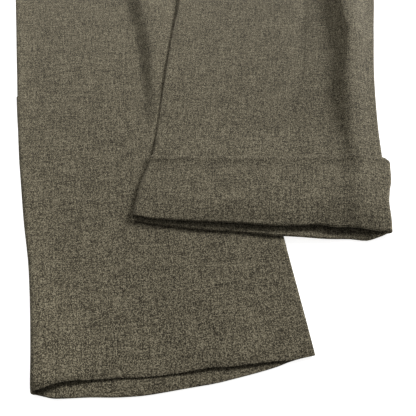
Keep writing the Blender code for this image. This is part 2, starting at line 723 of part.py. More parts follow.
def build_button():
    """A four-hole button with a raised rim, on the waistband's end tab."""
    station = WAIST_STATION + BAND_HEIGHT / 2
    level = LEFT.underside(1.0, station) + LEFT.height(1.0, station)
    level += 0.0002 + SEAM_GAP + BAND_WALL + SEAM_GAP
    spot = LEFT.point(1.0, station, level, 0.0, TAB_LENGTH - 0.017)
    half_thickness = BUTTON_THICKNESS / 2
    rim = BUTTON_RADIUS - 0.0018
    profile = (
        (0.0, 0.0),
        (BUTTON_RADIUS - 0.0016, 0.0),
        (BUTTON_RADIUS, half_thickness),
        (BUTTON_RADIUS - 0.0006, BUTTON_THICKNESS * 0.9),
        (rim + 0.0004, BUTTON_THICKNESS),
        (rim - 0.0008, BUTTON_THICKNESS * 0.72),
        (0.0, BUTTON_THICKNESS * 0.66),
    )
    work = bmesh.new()
    verts = [work.verts.new((radius, 0.0, z)) for radius, z in profile]
    edges = [work.edges.new(pair) for pair in zip(verts, verts[1:])]
    bmesh.ops.spin(work, geom=verts + edges, cent=(0, 0, 0), axis=(0, 0, 1),
                   angle=math.tau, steps=24, use_merge=True, use_duplicate=False)
    bmesh.ops.remove_doubles(work, verts=work.verts, dist=0.00002)
    button = add_object("waist_button", work, cloth_material("waist_button", HORN, 0.35))
    button.location = spot
    for number in range(4):
        angle = math.radians(45 + 90 * number)
        cutter = hole_cutter(number, (spot[0] + BUTTON_HOLE_OFFSET * math.cos(angle),
                                      spot[1] + BUTTON_HOLE_OFFSET * math.sin(angle),
                                      spot[2] + half_thickness))
        cut = button.modifiers.new("hole_%d" % number, "BOOLEAN")
        cut.operation = "DIFFERENCE"
        cut.object = cutter


def hole_cutter(number, place):
    work = bmesh.new()
    bmesh.ops.create_cone(work, cap_ends=True, segments=10, radius1=BUTTON_HOLE_RADIUS,
                          radius2=BUTTON_HOLE_RADIUS, depth=BUTTON_THICKNESS * 2)
    mesh = bpy.data.meshes.new("button_hole_cutter_%d" % number)
    work.to_mesh(mesh)
    work.free()
    cutter = bpy.data.objects.new(mesh.name, mesh)
    bpy.context.scene.collection.objects.link(cutter)
    cutter.location = place
    cutter.hide_render = True
    cutter.display_type = "WIRE"
    cutter.parent = garment
    return cutter


for old in list(bpy.data.objects):
    bpy.data.objects.remove(old, do_unlink=True)

garment = bpy.data.objects.new("trousers", None)
bpy.context.scene.collection.objects.link(garment)

build_right_panels()
build_left_panels()
build_turn_up()
build_waistbands()
build_fly()
build_pocket_edges()
build_belt_loops()
build_button()
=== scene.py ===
import copy
import math
from collections import namedtuple

import bmesh
import bpy
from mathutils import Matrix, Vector, noise


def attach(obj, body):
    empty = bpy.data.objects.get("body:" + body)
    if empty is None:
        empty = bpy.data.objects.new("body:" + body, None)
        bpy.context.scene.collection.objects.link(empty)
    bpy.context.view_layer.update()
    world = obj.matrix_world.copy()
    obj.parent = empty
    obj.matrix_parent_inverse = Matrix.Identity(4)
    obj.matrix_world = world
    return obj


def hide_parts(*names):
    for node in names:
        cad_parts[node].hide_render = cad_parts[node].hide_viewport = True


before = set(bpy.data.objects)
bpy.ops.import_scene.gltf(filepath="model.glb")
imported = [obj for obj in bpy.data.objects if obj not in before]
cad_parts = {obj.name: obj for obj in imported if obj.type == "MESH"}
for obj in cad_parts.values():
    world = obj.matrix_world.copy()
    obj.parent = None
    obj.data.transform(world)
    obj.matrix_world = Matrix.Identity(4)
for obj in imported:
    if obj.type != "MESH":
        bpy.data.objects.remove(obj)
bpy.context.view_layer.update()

# Pleated dress trousers in heather wool, laid flat with the front side up and the waist towards +Y.
# "Right" and "left" are the wearer's. The right leg lies at -X and ends in a plain hem; the left
# leg crosses over it and ends in a turn-up. Each half (a leg with its half of the seat) is a
# flattened tube. A station is a height above the lowest hem corner. Across runs from 0 at the
# side fold to 1 at the inner edge.

MM = 0.001

# --- Sizes that the cloth shares with the solids (metres) -------------------------------------
LENGTH = 1.0987  # from the lowest hem corner to the top of the back waistband
SEAM_GAP = 0.0003
FORK_STATION = 0.800  # where the legs part
FORK_BLEND = 0.032
WAIST_STATION = 1.046
CROSSING_SLOPE = 0.056  # width over which the upper leg sinks back to the table
CROSSING_SHOULDER = 0.004
TURN_UP_SLOPE = 0.034  # length over which the leg sinks off its turn-up
HEM_DIP_REACH = 0.150  # the hem's curve fades out this far up the leg
PLAIN_GAPE = 0.0088  # how far the front stands up off the back at the hem
PLAIN_GAPE_REACH = 0.140
TURNED_GAPE = 0.0052
TURNED_GAPE_REACH = 0.125
BAND_HEIGHT = 0.040
BAND_WALL = 0.0020
BACK_RISE = 0.018  # the back waist stands this much above the front waist
UNDER_LOOP_SPACE = 0.0018  # room for the back belt loops between cloth and table
FLY_WIDTH = 0.038
FLY_LENGTH = 0.185
FLY_WALL = 0.0010
TAB_LENGTH = 0.042
TAB_CLIMB = 0.014
POCKET_EDGE_WIDTH = 0.007
POCKET_EDGE_WALL = 0.0010
LOOP_WIDTH = 0.010
LOOP_TAIL = 0.008
LOOP_ARCH = 0.0012
LOOP_THICKNESS = 0.0014
BUTTON_RADIUS = 0.0085
BUTTON_THICKNESS = 0.0030
BUTTON_HOLE_RADIUS = 0.0010
BUTTON_HOLE_OFFSET = 0.0019

# --- Sizes of the finished cloth (metres) -----------------------------------------------------
CLOTH = 0.0007
HEM_CLOTH = 0.0010  # the plain hem is turned up once inside
HEM_TURN = 0.039  # length of that turn, before a short step to single cloth
HEM_TURN_STEP = 0.002
SIDE_WRAP = 0.008  # how far the front turns under at the side fold
HEM_WRAP = 0.0105  # what the plain hem adds to it
HEM_WRAP_REACH = 0.300

LAID_HEIGHT = 0.0032  # two plies of pressed cloth with a little air
CROSSING_HEIGHT = 0.0025  # the same for the leg that lies on the other
SEAT_HEIGHT = 0.0050
SEAT_START = 0.02  # the seat begins this far below the fork
SEAT_BLEND = 0.08
MIN_PLIES = 0.0019
EDGE_SWELL = 0.0010  # the folded edges stand up a little, then sink inward
INNER_SWELL = 0.4  # share of it at the inner edge
EDGE_CREST = 0.0022
EDGE_SWELL_WIDTH = 0.0070
SIDE_ROLL = 0.0032  # how far the side fold rounds in from the outline
INNER_ROLL = 0.0022
SEAM_DIP = 0.0006
SEAM_DIP_WIDTH = 0.0016
TROUGH_POINT = 1.35  # 1 would be a sharp valley, 2 a round one
RIDGE_POINT = 2

PLEAT_RISE = 0.0058  # full height of a folded strip over the cloth beside it
PLEAT_SPREAD = 0.040
FOLD_DROP = 0.0042
FOLD_FOOT = 0.10  # share of that height at the foot of the folded edge
FOLD_FOOT_REACH = 0.0060
FOLD_SPRING = -0.12
FOLD_SPRING_REACH = 0.010
FOLD_OPENING = 1.6  # how soon a fold takes on its full section as it rises

PLAIN_ROLL = 0.35  # share of its height that the front rolls down at the hem
PLAIN_ROLL_REACH = 0.008
TURNED_ROLL = 0.66
TURNED_ROLL_REACH = 0.022
ROLL_POWER = 1.5

CROSSING_LIFT = 0.0035  # the upper leg's underside, on the pressed lower leg
CROSSING_END = 0.640  # above it the legs lie side by side
CROSSING_FADE = 0.080
LIFT_END = 0.735  # the lift lasts a little longer
LIFT_FADE = 0.055
PRESSED_HEIGHT = 0.0032  # the lower leg under the upper one
PRESSED_RAMP = 0.004
EDGE_PRESS = 0.0006  # the upper leg is pressed thinner towards its inner edge
EDGE_PRESS_WIDTH = 0.018
EDGE_LIFT = 0.0026  # the lower leg's shoulder lifts the upper one's edge this much
EDGE_LIFT_REACH = 0.036
EDGE_LIFT_SPAN = (0.250, 0.340, 0.520, 0.620)  # heights where it starts, is full, wanes, ends
HOLLOW_SHARE = 0.95  # how much of the hollow beside the lower leg the upper one's front bridges
HOLLOW_FROM_SIDE = 0.032

TURN_UP_WALL = 0.0009
TURN_UP_HEIGHT = 0.0724
TURN_UP_OUT = SEAM_GAP + TURN_UP_WALL
TURN_UP_FOLD = TURN_UP_OUT + CLOTH  # thickness of the folded bottom edge
TURN_UP_EASE = 0.003  # the leg stays level this far past its turn-up
TURN_UP_LIP = 0.0012  # the upper edge stands off the leg a little
TURN_UP_LIP_CREST = 0.0017  # how far under the edge it stands off most
TURN_UP_LIP_REACH = 0.0046
FLARE_REACH = 0.030  # width over which the turn-up stands off the leg at each fold

BACK_RISE_START = 0.900
LOOP_SPACE_START = 0.060  # how far below the waist the cloth leaves the table
LOOP_SPACE_RAMP = 0.050
BAND_OUT = 0.0006
THIN_EDGE = 0.2  # share of the thickness that is left at a rounded edge
HAIR = 0.0001  # keeps apart what would fall together


def table(columns, *rows):
    """A table with named columns."""
    entry = namedtuple("Entry", columns)
    return [entry(*row) for row in rows]


# The unevenness of hand-laid cloth: its height in metres, and ripples a metre in X and in Y.
UNEVENNESS = table(
    "height ripples_x ripples_h seed",
    (0.00030, 26, 19, 3.0),
    (0.00008, 90, 60, 7.0),
)

# --- Outlines of the two halves, in millimetres -----------------------------------------------
RIGHT_OUTLINE = table(
    "station outer_x outer_h inner_x inner_h",
    (19, -103.5, 5, 109.2, 33),
    (52, -108.7, 38, 104.2, 65),
    (119, -122.2, 106, 93.4, 131),
    (165, -134.4, 152, 86.1, 177),
    (205, -143.9, 192, 80.2, 218),
    (239, -151.8, 226, 75.0, 252),
    (355, -175.0, 344, 59.0, 365),
    (461, -196.0, 453, 43.0, 468),
    (629, -231.0, 625, 16.0, 632),
    (730, -252.0, 729, 1.2, 731),
    (800, -265.0, 800, -0.15, 800),
    (872, -273.0, 872, -0.15, 872),
    (965, -258.0, 968, -0.15, 962),
    (1046, -221.0, 1052, -0.15, 1040),
    (1088, -217.0, 1094, -0.15, 1082),
)
LEFT_OUTLINE = table(
    "station outer_x outer_h inner_x inner_h",
    (146, 185.4, 142, -37.6, 150),
    (162, 185.8, 160, -35.8, 165),
    (182, 188.2, 181, -33.4, 184),
    (218, 189.9, 218, -25.0, 218),
    (272, 193.6, 272, -21.4, 273),
    (326, 198.8, 325, -17.2, 328),
    (386, 207.4, 385, -12.4, 387),
    (450, 218.4, 451, -6.1, 449),
    (629, 241.0, 628, -1.0, 630),
    (730, 256.0, 729, -1.6, 731),
    (800, 266.0, 800, 0.15, 800),
    (872, 273.0, 872, 0.15, 872),
    (965, 258.0, 968, 0.15, 962),
    (1046, 221.0, 1052, 0.15, 1040),
    (1088, 217.0, 1094, 0.15, 1082),
)

# --- Folds and creases --------------------------------------------------------------------------
# The lines along which each front is folded, and the share of PLEAT_RISE left at each station.
RIGHT_FOLDS = table(
    "station side_pleat crease_pleat",
    (19, 0.30, 0.53),
    (230, 0.36, 0.55),
    (450, 0.42, 0.55),
    (1046, 0.44, 0.60),
    (1088, 0.44, 0.60),
)
LEFT_FOLDS = table(
    "station side_pleat crease_pleat",
    (146, 0.150, 0.44),
    (244, 0.155, 0.45),
    (280, 0.164, 0.455),
    (307, 0.164, 0.46),
    (336, 0.152, 0.465),
    (369, 0.146, 0.47),
    (403, 0.168, 0.475),
    (425, 0.188, 0.48),
    (449, 0.204, 0.485),
    (640, 0.270, 0.53),
    (1046, 0.44, 0.60),
    (1088, 0.44, 0.60),
)
RIGHT_FOLD_HEIGHTS = table(
    "station side_pleat crease_pleat",
    (19, 0.0, 0.0),
    (790, 0.0, 0.0),
    (1000, 0.80, 0.84),
    (1046, 0.50, 0.50),
)
LEFT_FOLD_HEIGHTS = table(
    "station side_pleat crease_pleat",
    (146, 0.0, 0.0),
    (214, 0.0, 0.0),
    (245, 0.10, 0.0),
    (280, 0.34, 0.0),
    (320, 0.85, 0.0),
    (400, 1.00, 0.0),
    (480, 1.00, 0.0),
    (790, 0.40, 0.0),
    (1000, 0.52, 0.55),
    (1046, 0.38, 0.38),
)

# The section of a folded edge, from the strip down to the cloth beside it, in millimetres: where
# each point lies when there is no fold, where it lies at full height, and its share of the height.
FOLD_SECTION = table(
    "open folded share",
    (-3.0, -3.0, 1.00),
    (-2.3, -1.7, 0.99),
    (-1.6, -0.8, 0.94),
    (-0.9, -0.2, 0.82),
    (-0.3, 0.1, 0.64),
    (0.3, 0.0, 0.44),
    (0.9, -0.5, 0.26),
    (1.5, -1.2, 0.12),
    (2.1, -0.9, 0.02),
    (2.8, 1.0, 0.00),
)


# Soft creases of the fronts. Before and after are half widths towards the side fold and towards
# the inner edge. All but across in millimetres.
def crease(*rows):
    """The table of one crease; troughs have a depth above 0, ridges below 0."""
    return table("station across depth before after", *rows)


RIGHT_CREASES = (
    crease(  # ridge between two troughs
        (330, 0.430, 0.0, 8, 7),
        (400, 0.453, -0.2, 8, 8),
        (454, 0.476, -0.4, 9, 8),
        (560, 0.49, -0.6, 12, 9),
        (640, 0.49, 0.0, 14, 10),
    ),
    crease(  # the long trough that runs down to the crossing leg
        (225, 0.515, 0.0, 14, 6),
        (255, 0.532, 0.5, 16, 6),
        (288, 0.546, 0.9, 20, 7),
        (331, 0.552, 1.3, 24, 8),
        (401, 0.548, 1.5, 28, 8),
        (453, 0.532, 1.5, 28, 8),
        (600, 0.53, 0.9, 20, 16),
        (700, 0.55, 0.0, 16, 16),
    ),
    crease(  # the steep side of that trough
        (250, 0.575, 0.0, 7, 8),
        (300, 0.592, -2.3, 8, 8),
        (331, 0.600, -3.0, 8, 10),
        (360, 0.612, -3.2, 9, 13),
        (401, 0.608, -3.3, 9, 16),
        (454, 0.602, -3.6, 10, 19),
        (560, 0.60, 0.0, 12, 14),
    ),
    crease(  # its long shoulder, which carries the edge of the crossing leg
        (262, 0.620, 0.0, 14, 10),
        (331, 0.634, -2.2, 16, 14),
        (360, 0.660, -2.8, 20, 18),
        (401, 0.677, -3.2, 23, 20),
        (454, 0.680, -3.4, 26, 24),
        (580, 0.70, 0.0, 22, 20),
    ),
    crease(  # gentle rise to the edge of the turn-up that lies on this leg
        (150, 0.430, 0.0, 26, 12),
        (172, 0.465, -1.1, 26, 12),
        (218, 0.550, -1.3, 26, 12),
        (262, 0.580, -0.8, 22, 12),
        (300, 0.600, 0.0, 20, 12),
    ),
    crease(  # faint hollow beside the side fold
        (60, 0.11, 0.0, 10, 12),
        (190, 0.10, 0.30, 9, 12),
        (390, 0.085, 0.40, 8, 13),
        (520, 0.09, 0.0, 8, 12),
    ),
    crease(  # faint hollow above the hem, towards the inner edge
        (40, 0.62, 0.0, 14, 12),
        (90, 0.66, 0.35, 14, 12),
        (170, 0.70, 0.0, 16, 12),
    ),
    crease(  # faint hollow above the middle of the hem
        (35, 0.33, 0.0, 16, 14),
        (110, 0.35, 0.35, 18, 14),
        (230, 0.38, 0.0, 18, 14),
    ),
    crease(  # soft hollow of the thigh, towards the side
        (560, 0.20, 0.0, 14, 18),
        (690, 0.23, 1.0, 12, 22),
        (850, 0.30, 0.0, 14, 20),
    ),
    crease(  # soft hollow from the inner edge up into the fork
        (640, 0.84, 0.0, 14, 12),
        (740, 0.80, 1.2, 16, 12),
        (870, 0.70, 0.0, 18, 14),
    ),
)
LEFT_CREASES = (
    crease(  # secondary trough, patchy
        (205, 0.425, 0.0, 6, 8),
        (236, 0.409, 0.8, 6, 7),
        (262, 0.399, 1.1, 6, 8),
        (300, 0.375, 1.2, 6, 8),
        (333, 0.362, 1.9, 6, 9),
        (369, 0.350, 1.7, 6, 9),
        (406, 0.358, 2.2, 6, 10),
        (453, 0.358, 2.3, 7, 11),
        (600, 0.40, 0.0, 10, 14),
    ),
    crease(  # the wide soft ridge that carries the folded strip
        (150, 0.112, 0.0, 24, 12),
        (216, 0.112, -4.0, 25, 12),
        (245, 0.118, -5.4, 26, 12),
        (280, 0.128, -6.2, 29, 12),
        (307, 0.130, -6.4, 29, 12),
        (336, 0.121, -6.6, 29, 13),
        (369, 0.118, -6.8, 31, 13),
        (403, 0.142, -6.9, 34, 13),
        (449, 0.182, -7.0, 40, 13),
        (560, 0.21, -4.0, 34, 15),
        (680, 0.27, 0.0, 24, 16),
    ),
    crease(  # the front rises slowly towards it
        (216, 0.12, 0.0, 20, 44),
        (280, 0.13, -2.4, 36, 52),
        (369, 0.13, -4.2, 44, 60),
        (449, 0.18, -5.0, 56, 64),
        (640, 0.26, 0.0, 40, 56),
    ),
    crease(  # faint hollow down the middle
        (262, 0.565, 0.0, 9, 9),
        (300, 0.553, 0.45, 8, 9),
        (346, 0.545, 0.45, 8, 10),
        (400, 0.535, 0.0, 9, 10),
    ),
    crease(  # faint hollow beside the inner edge
        (215, 0.80, 0.0, 8, 10),
        (250, 0.804, 0.4, 7, 9),
        (345, 0.807, 0.4, 8, 9),
        (430, 0.82, 0.0, 9, 9),
    ),
    crease(  # soft hollow of the thigh
        (560, 0.62, 0.0, 12, 16),
        (690, 0.66, 0.9, 12, 18),
        (840, 0.70, 0.0, 14, 18),
    ),
    crease(  # soft hollow from the inner edge up into the fork
        (620, 0.88, 0.0, 14, 10),
        (735, 0.83, 1.3, 18, 10),
        (880, 0.72, 0.0, 18, 12),
    ),
)

# --- Hems -----------------------------------------------------------------------------------------
# Share of the full gape, and how far the front's and the back's edges dip below the straight line
# between the hem's ends (mm).
PLAIN_HEM = table(
    "across gape front_dip back_dip",
    (0.000, 0.55, 1.0, 1.0),
    (0.035, 0.62, -0.2, 3.6),
    (0.085, 0.45, -3.2, 7.0),
    (0.130, 0.25, -4.0, 8.0),
    (0.200, 0.00, -3.1, 9.3),
    (0.310, -0.10, -1.5, 12.3),
    (0.400, -0.11, 0.2, 13.4),
    (0.490, -0.11, 0.5, 12.7),
    (0.560, -0.05, 0.3, 12.0),
    (0.630, 0.02, -0.4, 11.5),
    (0.700, 0.06, 0.9, 9.9),
    (0.800, 0.02, 0.9, 7.1),
    (0.860, -0.03, 1.1, 4.9),
    (0.900, -0.06, 1.7, 2.7),
    (0.950, -0.08, 1.2, 0.9),
    (1.000, -0.11, 0.0, 0.0),
)
TURNED_HEM = table(
    "across gape front_dip back_dip",
    (0.000, 0.45, 0.6, -0.5),
    (0.045, 0.64, 1.3, 4.8),
    (0.105, 0.75, -0.4, 9.1),
    (0.165, 0.75, -1.3, 8.0),
    (0.225, 0.75, -0.8, 8.8),
    (0.275, 0.75, -2.4, 9.3),
    (0.330, 0.71, -0.8, 9.2),
    (0.435, 0.66, 0.8, 8.9),
    (0.590, 0.64, -0.3, 6.3),
    (0.710, 0.58, -1.1, 5.2),
    (0.810, 0.48, -1.7, 3.6),
    (0.920, 0.26, -2.7, 0.9),
    (1.000, 0.00, -6.0, -2.3),
)

# How the turn-up stands off the leg at its two folds; rise above its bottom edge, all in mm.
TURN_UP_FLARE = table(
    "rise outer inner",
    (0.0, 0.0, 0.3),
    (14.0, 0.9, 0.4),
    (28.0, 0.1, 0.0),
    (38.0, 1.2, 0.1),
    (50.0, 4.0, 0.0),
    (65.5, 5.0, 0.5),
    (69.0, 4.3, 0.5),
    (72.4, 0.8, 0.2),
)

# --- Grid of the cloth ----------------------------------------------------------------------------
FINE_STEP = 0.0026  # rows in the legs up to FINE_END, then COARSE_STEP
FINE_END = 0.475
COARSE_STEP = 0.0060
BACK_STEP = 0.0065
TOP_COLUMNS = ((30, 22, 40), (20, 26, 44))  # right, left: spaces in the three stretches of the top
BACK_COLUMNS = 34
WRAP_COLUMNS = 5
SIDE_ANGLES = (-90, -65, -42, -22, -5, 12, 28, 43, 57, 70, 80, 90)
INNER_ANGLES = (72, 54, 36, 18)
EDGE_ANGLES = (0, 28, 55, 90)


class Curve:
    """A smooth line through a table's values that doesn't overshoot them."""

    def __init__(self, places, values):
        self.places = list(places)
        self.values = list(values)
        rises = [
            (self.values[i + 1] - self.values[i]) / (self.places[i + 1] - self.places[i])
            for i in range(len(self.places) - 1)
        ]
        self.slopes = [rises[0]]
        for before, after in zip(rises, rises[1:]):
            together = before * after > 0
            self.slopes.append(2 * before * after / (before + after) if together else 0.0)
        self.slopes.append(rises[-1])

    def __call__(self, place):
        place = min(max(place, self.places[0]), self.places[-1])
        index = 0
        while index < len(self.places) - 2 and place > self.places[index + 1]:
            index += 1
        span = self.places[index + 1] - self.places[index]
        t = (place - self.places[index]) / span
        start = (1 + 2 * t) * (1 - t) ** 2 * self.values[index]
        start += t * (1 - t) ** 2 * span * self.slopes[index]
        end = t * t * (3 - 2 * t) * self.values[index + 1]
        end -= t * t * (1 - t) * span * self.slopes[index + 1]
        return start + end


def table_curve(rows, column, place="station"):
    """The curve of one column of a table, as a function of another column."""
    return Curve([getattr(row, place) for row in rows], [getattr(row, column) for row in rows])


def smooth_step(value):
    value = min(max(value, 0.0), 1.0)
    return value * value * (3 - 2 * value)


def eased(start, end, spaces):
    """Places from start to end, half as far apart at both ends as they would be evenly."""
    places = []
    for i in range(spaces + 1):
        t = i / spaces
        places.append(start + (end - start) * (t - 0.5 * math.sin(math.tau * t) / math.tau))
    return places


class CreaseLine:
    """One long soft crease, read from its table at any station."""

    def __init__(self, rows):
        self.low, self.high = rows[0].station, rows[-1].station
        self.columns = [table_curve(rows, name) for name in ("across", "depth", "before", "after")]

    def at(self, station):
        if not self.low < station < self.high:
            return None
        return [column(station) for column in self.columns]


Fold = namedtuple("Fold", "line rise opened")


class Row:
    """What one half has at one station: its ends, its width, its folds and its creases."""

    def __init__(self, half, station):
        at = station / MM
        self.station = station
        self.start = Vector((half.outer_x(at), half.outer_h(at))) * MM
        end = Vector((half.inner_x(at), half.inner_h(at))) * MM
        self.width = (end - self.start).length
        self.way = (end - self.start) / self.width
        self.seat = smooth_step((station - FORK_STATION + SEAT_START) / SEAT_BLEND)
        self.joined = smooth_step((station - FORK_STATION) / FORK_BLEND)
        rise = station - half.hem
        self.dip_share = 1 - smooth_step(rise / HEM_DIP_REACH)
        self.gape = 0.0
        if rise < half.gape_reach:
            self.gape = half.gape * (0.5 + 0.5 * math.cos(math.pi * max(rise, 0) / half.gape_reach))
        self.roll = half.hem_roll * max(1 - rise / half.hem_roll_reach, 0.0) ** ROLL_POWER
        self.folds = []
        for line, height in zip(half.fold_lines, half.fold_heights):
            share = height(at) * (1 - smooth_step((station - WAIST_STATION) / BAND_HEIGHT))
            opened = min(1, share * FOLD_OPENING)
            self.folds.append(Fold(line(at) * self.width, PLEAT_RISE * share, opened))
        creases = [line.at(at) for line in half.creases]
        self.creases = [values for values in creases if values]

    def plan(self, distance):
        return self.start + self.way * distance


class Half:
    """One leg with its half of the seat, as a flattened tube of cloth."""

    laid = LAID_HEIGHT
    edge_press = 0.0
    hem_roll = PLAIN_ROLL
    hem_roll_reach = PLAIN_ROLL_REACH

    def __init__(self, outline, folds, heights, creases, hem_shape, gape, gape_reach, columns):
        self.gape, self.gape_reach = gape, gape_reach
        self.top_columns = columns
        self.mouth = table_curve(hem_shape, "gape", place="across")
        self.front_dip = table_curve(hem_shape, "front_dip", place="across")
        self.back_dip = table_curve(hem_shape, "back_dip", place="across")
        self.hem = outline[0].station * MM
        self.outer_x = table_curve(outline, "outer_x")
        self.outer_h = table_curve(outline, "outer_h")
        self.inner_x = table_curve(outline, "inner_x")
        self.inner_h = table_curve(outline, "inner_h")
        self.fold_lines = [table_curve(folds, name) for name in ("side_pleat", "crease_pleat")]
        self.fold_heights = [table_curve(heights, name) for name in ("side_pleat", "crease_pleat")]
        self.creases = [CreaseLine(rows) for rows in creases]
        self.rows = {}

    def row(self, station):
        if station not in self.rows:
            self.rows[station] = Row(self, station)
        return self.rows[station]

    def underside(self, row, distance):
        """Height of the half's underside over the table."""
        return UNDER_LOOP_SPACE * smooth_step(
            (row.station - WAIST_STATION + LOOP_SPACE_START) / LOOP_SPACE_RAMP)

    def side_wrap(self, row):
        """How far the front turns under at the side fold before it meets the back."""
        return SIDE_WRAP

    def thickness(self, station):
        return CLOTH

    def plies(self, row, distance):
        """Height of the front's upper face over the underside, without folded strips."""
        distance = min(max(distance, 0.0), row.width)
        across = distance / row.width
        from_edge = min(distance, row.width - distance)
        swell = math.exp(-(max(from_edge - EDGE_CREST, 0.0) / EDGE_SWELL_WIDTH) ** 2)
        if across > 0.5:
            swell *= INNER_SWELL * (1 - row.seat)
            seam = math.exp(-(from_edge / SEAM_DIP_WIDTH) ** 2) * row.seat
        else:
            seam = 0.0
        laid = self.laid + (SEAT_HEIGHT - self.laid) * row.seat
        total = laid + EDGE_SWELL * swell - SEAM_DIP * seam
        if row.gape:
            total += row.gape * self.mouth(across)
        total -= self.edge_press * math.exp(-((row.width - distance) / EDGE_PRESS_WIDTH) ** 2)
        for line, depth, before, after in row.creases:
            away = distance - line * row.width
            width = (before if away < 0 else after) * MM
            point = TROUGH_POINT if depth > 0 else RIDGE_POINT
            total -= depth * MM * math.exp(-abs(away / width) ** point)
        total += self.pushed_up(row, distance)
        total -= row.roll * max(total - MIN_PLIES, 0.0)
        x, h = row.plan(distance)
        for wave in UNEVENNESS:
            spot = Vector((x * wave.ripples_x, h * wave.ripples_h, wave.seed))
            total += wave.height * noise.noise(spot)
        return max(total, MIN_PLIES)

    def pushed_up(self, row, distance):
        """What lies under the half can push its front up."""
        return 0.0

    def strip(self, fold, distance):
        """What one folded strip adds at a place beside its folded edge."""
        from_edge = fold.line - distance
        if from_edge < 0:
            return fold.rise * FOLD_FOOT * math.exp(from_edge / FOLD_FOOT_REACH)
        fade = 1 - smooth_step((from_edge - FOLD_DROP) / PLEAT_SPREAD)
        spring = FOLD_SPRING * math.exp(-(from_edge / FOLD_SPRING_REACH) ** 2)
        return fold.rise * (fade + spring)

    def top(self, row, distance, on_fold=None, share=0.0):
        """Height of the front's upper face over the table; on_fold is a folded edge's own index."""
        z = self.underside(row, distance) + self.plies(row, distance)
        for index, fold in enumerate(row.folds):
            if fold.rise == 0.0:
                continue
            if index == on_fold:
                z += fold.rise * (share * (1 + FOLD_SPRING) + (1 - share) * FOLD_FOOT)
            else:
                z += self.strip(fold, distance)
        return z

    def place(self, row, distance, z, underneath=0.0, slide=0.0):
        """A point of the garment; slide moves it along its row, away from the side fold."""
        across = min(max(distance / row.width, 0.0), 1.0)
        x, h = row.plan(distance + slide)
        if row.dip_share:
            dip = self.front_dip(across) * (1 - underneath) + self.back_dip(across) * underneath
            h -= dip * MM * row.dip_share
        if row.station > BACK_RISE_START:
            climb = (row.station - BACK_RISE_START) / (WAIST_STATION - BACK_RISE_START)
            at_waist = smooth_step(climb)
            h += BACK_RISE * across * at_waist * underneath
        return Vector((x, h - LENGTH / 2, z))

    def side_turn(self, row, out, flare=0.0, under=None):
        """The rounded side fold, from the underside up to the top; under is the offset below."""
        lower = out if under is None else under
        base = self.underside(row, SIDE_ROLL)
        half = self.plies(row, SIDE_ROLL)
        half = (half + sum(self.strip(fold, SIDE_ROLL) for fold in row.folds)) / 2
        points = []
        for degrees in SIDE_ANGLES:
            angle = math.radians(degrees)
            slide = -(SIDE_ROLL + out) * math.cos(angle) - flare
            offset = out if degrees > 0 else lower
            z = base + half + (half + offset) * math.sin(angle)
            points.append(self.place(row, SIDE_ROLL, z, (1 - math.sin(angle)) / 2, slide))
        return points

    def inner_turn(self, row, out, over, flare=0.0):
        """The rounded inner edge: a fold below the fork, flat against the other half above it."""
        distance = row.width - INNER_ROLL
        base = self.underside(row, distance)
        full = self.plies(row, distance)
        folded = 1 - row.joined
        points = []
        for degrees in INNER_ANGLES + (None,):  # None is the edge itself, half a seam gap up
            sine = 0.5 * SEAM_GAP / full if degrees is None else math.sin(math.radians(degrees))
            cosine = 1.0 if degrees is None else math.cos(math.radians(degrees))
            slide = INNER_ROLL * cosine + folded * (out * cosine + flare)
            round_z = full / 2 + over * (full / 2 + out) * sine
            flat_z = full + out - SEAM_DIP * cosine if over > 0 else -out
            z = base + folded * round_z + row.joined * flat_z
            points.append(self.place(row, distance, z, (1 - over) / 2, slide))
        return points

    def top_places(self, row):
        """Distances of the top's columns, with each folded edge's own points between them."""
        side, middle = row.folds
        reach = -FOLD_SECTION[0].open * MM
        stretches = (
            (SIDE_ROLL, side.line - reach),
            (side.line + reach, middle.line - reach),
            (middle.line + reach, row.width - INNER_ROLL),
        )
        places = []
        for index, ((start, end), spaces) in enumerate(zip(stretches, self.top_columns)):
            run = eased(start, end, spaces)
            places += [(distance, None, 0.0) for distance in run[1:-1]]
            if index < 2:
                fold = row.folds[index]
                for spot in FOLD_SECTION:
                    slide = spot.open + (spot.folded - spot.open) * fold.opened
                    places.append((fold.line + slide * MM, index, spot.share))
        places.append((row.width - INNER_ROLL, None, 0.0))
        return places

    def front_row(self, row, out, flare=(0.0, 0.0), under=None):
        """A row of the front: under the side fold, round it, and over the top to the inner edge."""
        wrap = self.side_wrap(row)
        lower = out if under is None else under
        points = []
        for i in range(WRAP_COLUMNS):
            distance = wrap + (SIDE_ROLL - wrap) * i / WRAP_COLUMNS
            points.append(self.place(row, distance, self.underside(row, distance) - lower, 1.0))
        points += self.side_turn(row, out, flare[0], under)
        for distance, on_fold, share in self.top_places(row):
            z = self.top(row, distance, on_fold, share) + out
            near = flare[0] * (1 - smooth_step(distance / FLARE_REACH))
            away = flare[1] * (1 - smooth_step((row.width - distance) / FLARE_REACH))
            points.append(self.place(row, distance, z, 0.0, away - near))
        return points + self.inner_turn(row, out, 1.0, flare[1])

    def lining_row(self, row, out, flare=(0.0, 0.0)):
        """The front's inner face, which the folds don't reach."""
        flat = copy.copy(row)
        flat.folds = [Fold(fold.line, 0.0, 0.0) for fold in row.folds]
        return self.front_row(flat, out, flare)

    def back_row(self, row, out, flare=(0.0, 0.0)):
        """A row of the back, from the side seam to the inner edge."""
        start = self.side_wrap(row) + SEAM_GAP / 2
        points = []
        for distance in eased(start, row.width - INNER_ROLL, BACK_COLUMNS):
            z = self.underside(row, distance) - out
            away = flare[1] * (1 - smooth_step((row.width - distance) / FLARE_REACH))
            points.append(self.place(row, distance, z, 1.0, away))
        return points + self.inner_turn(row, out, -1.0, flare[1])


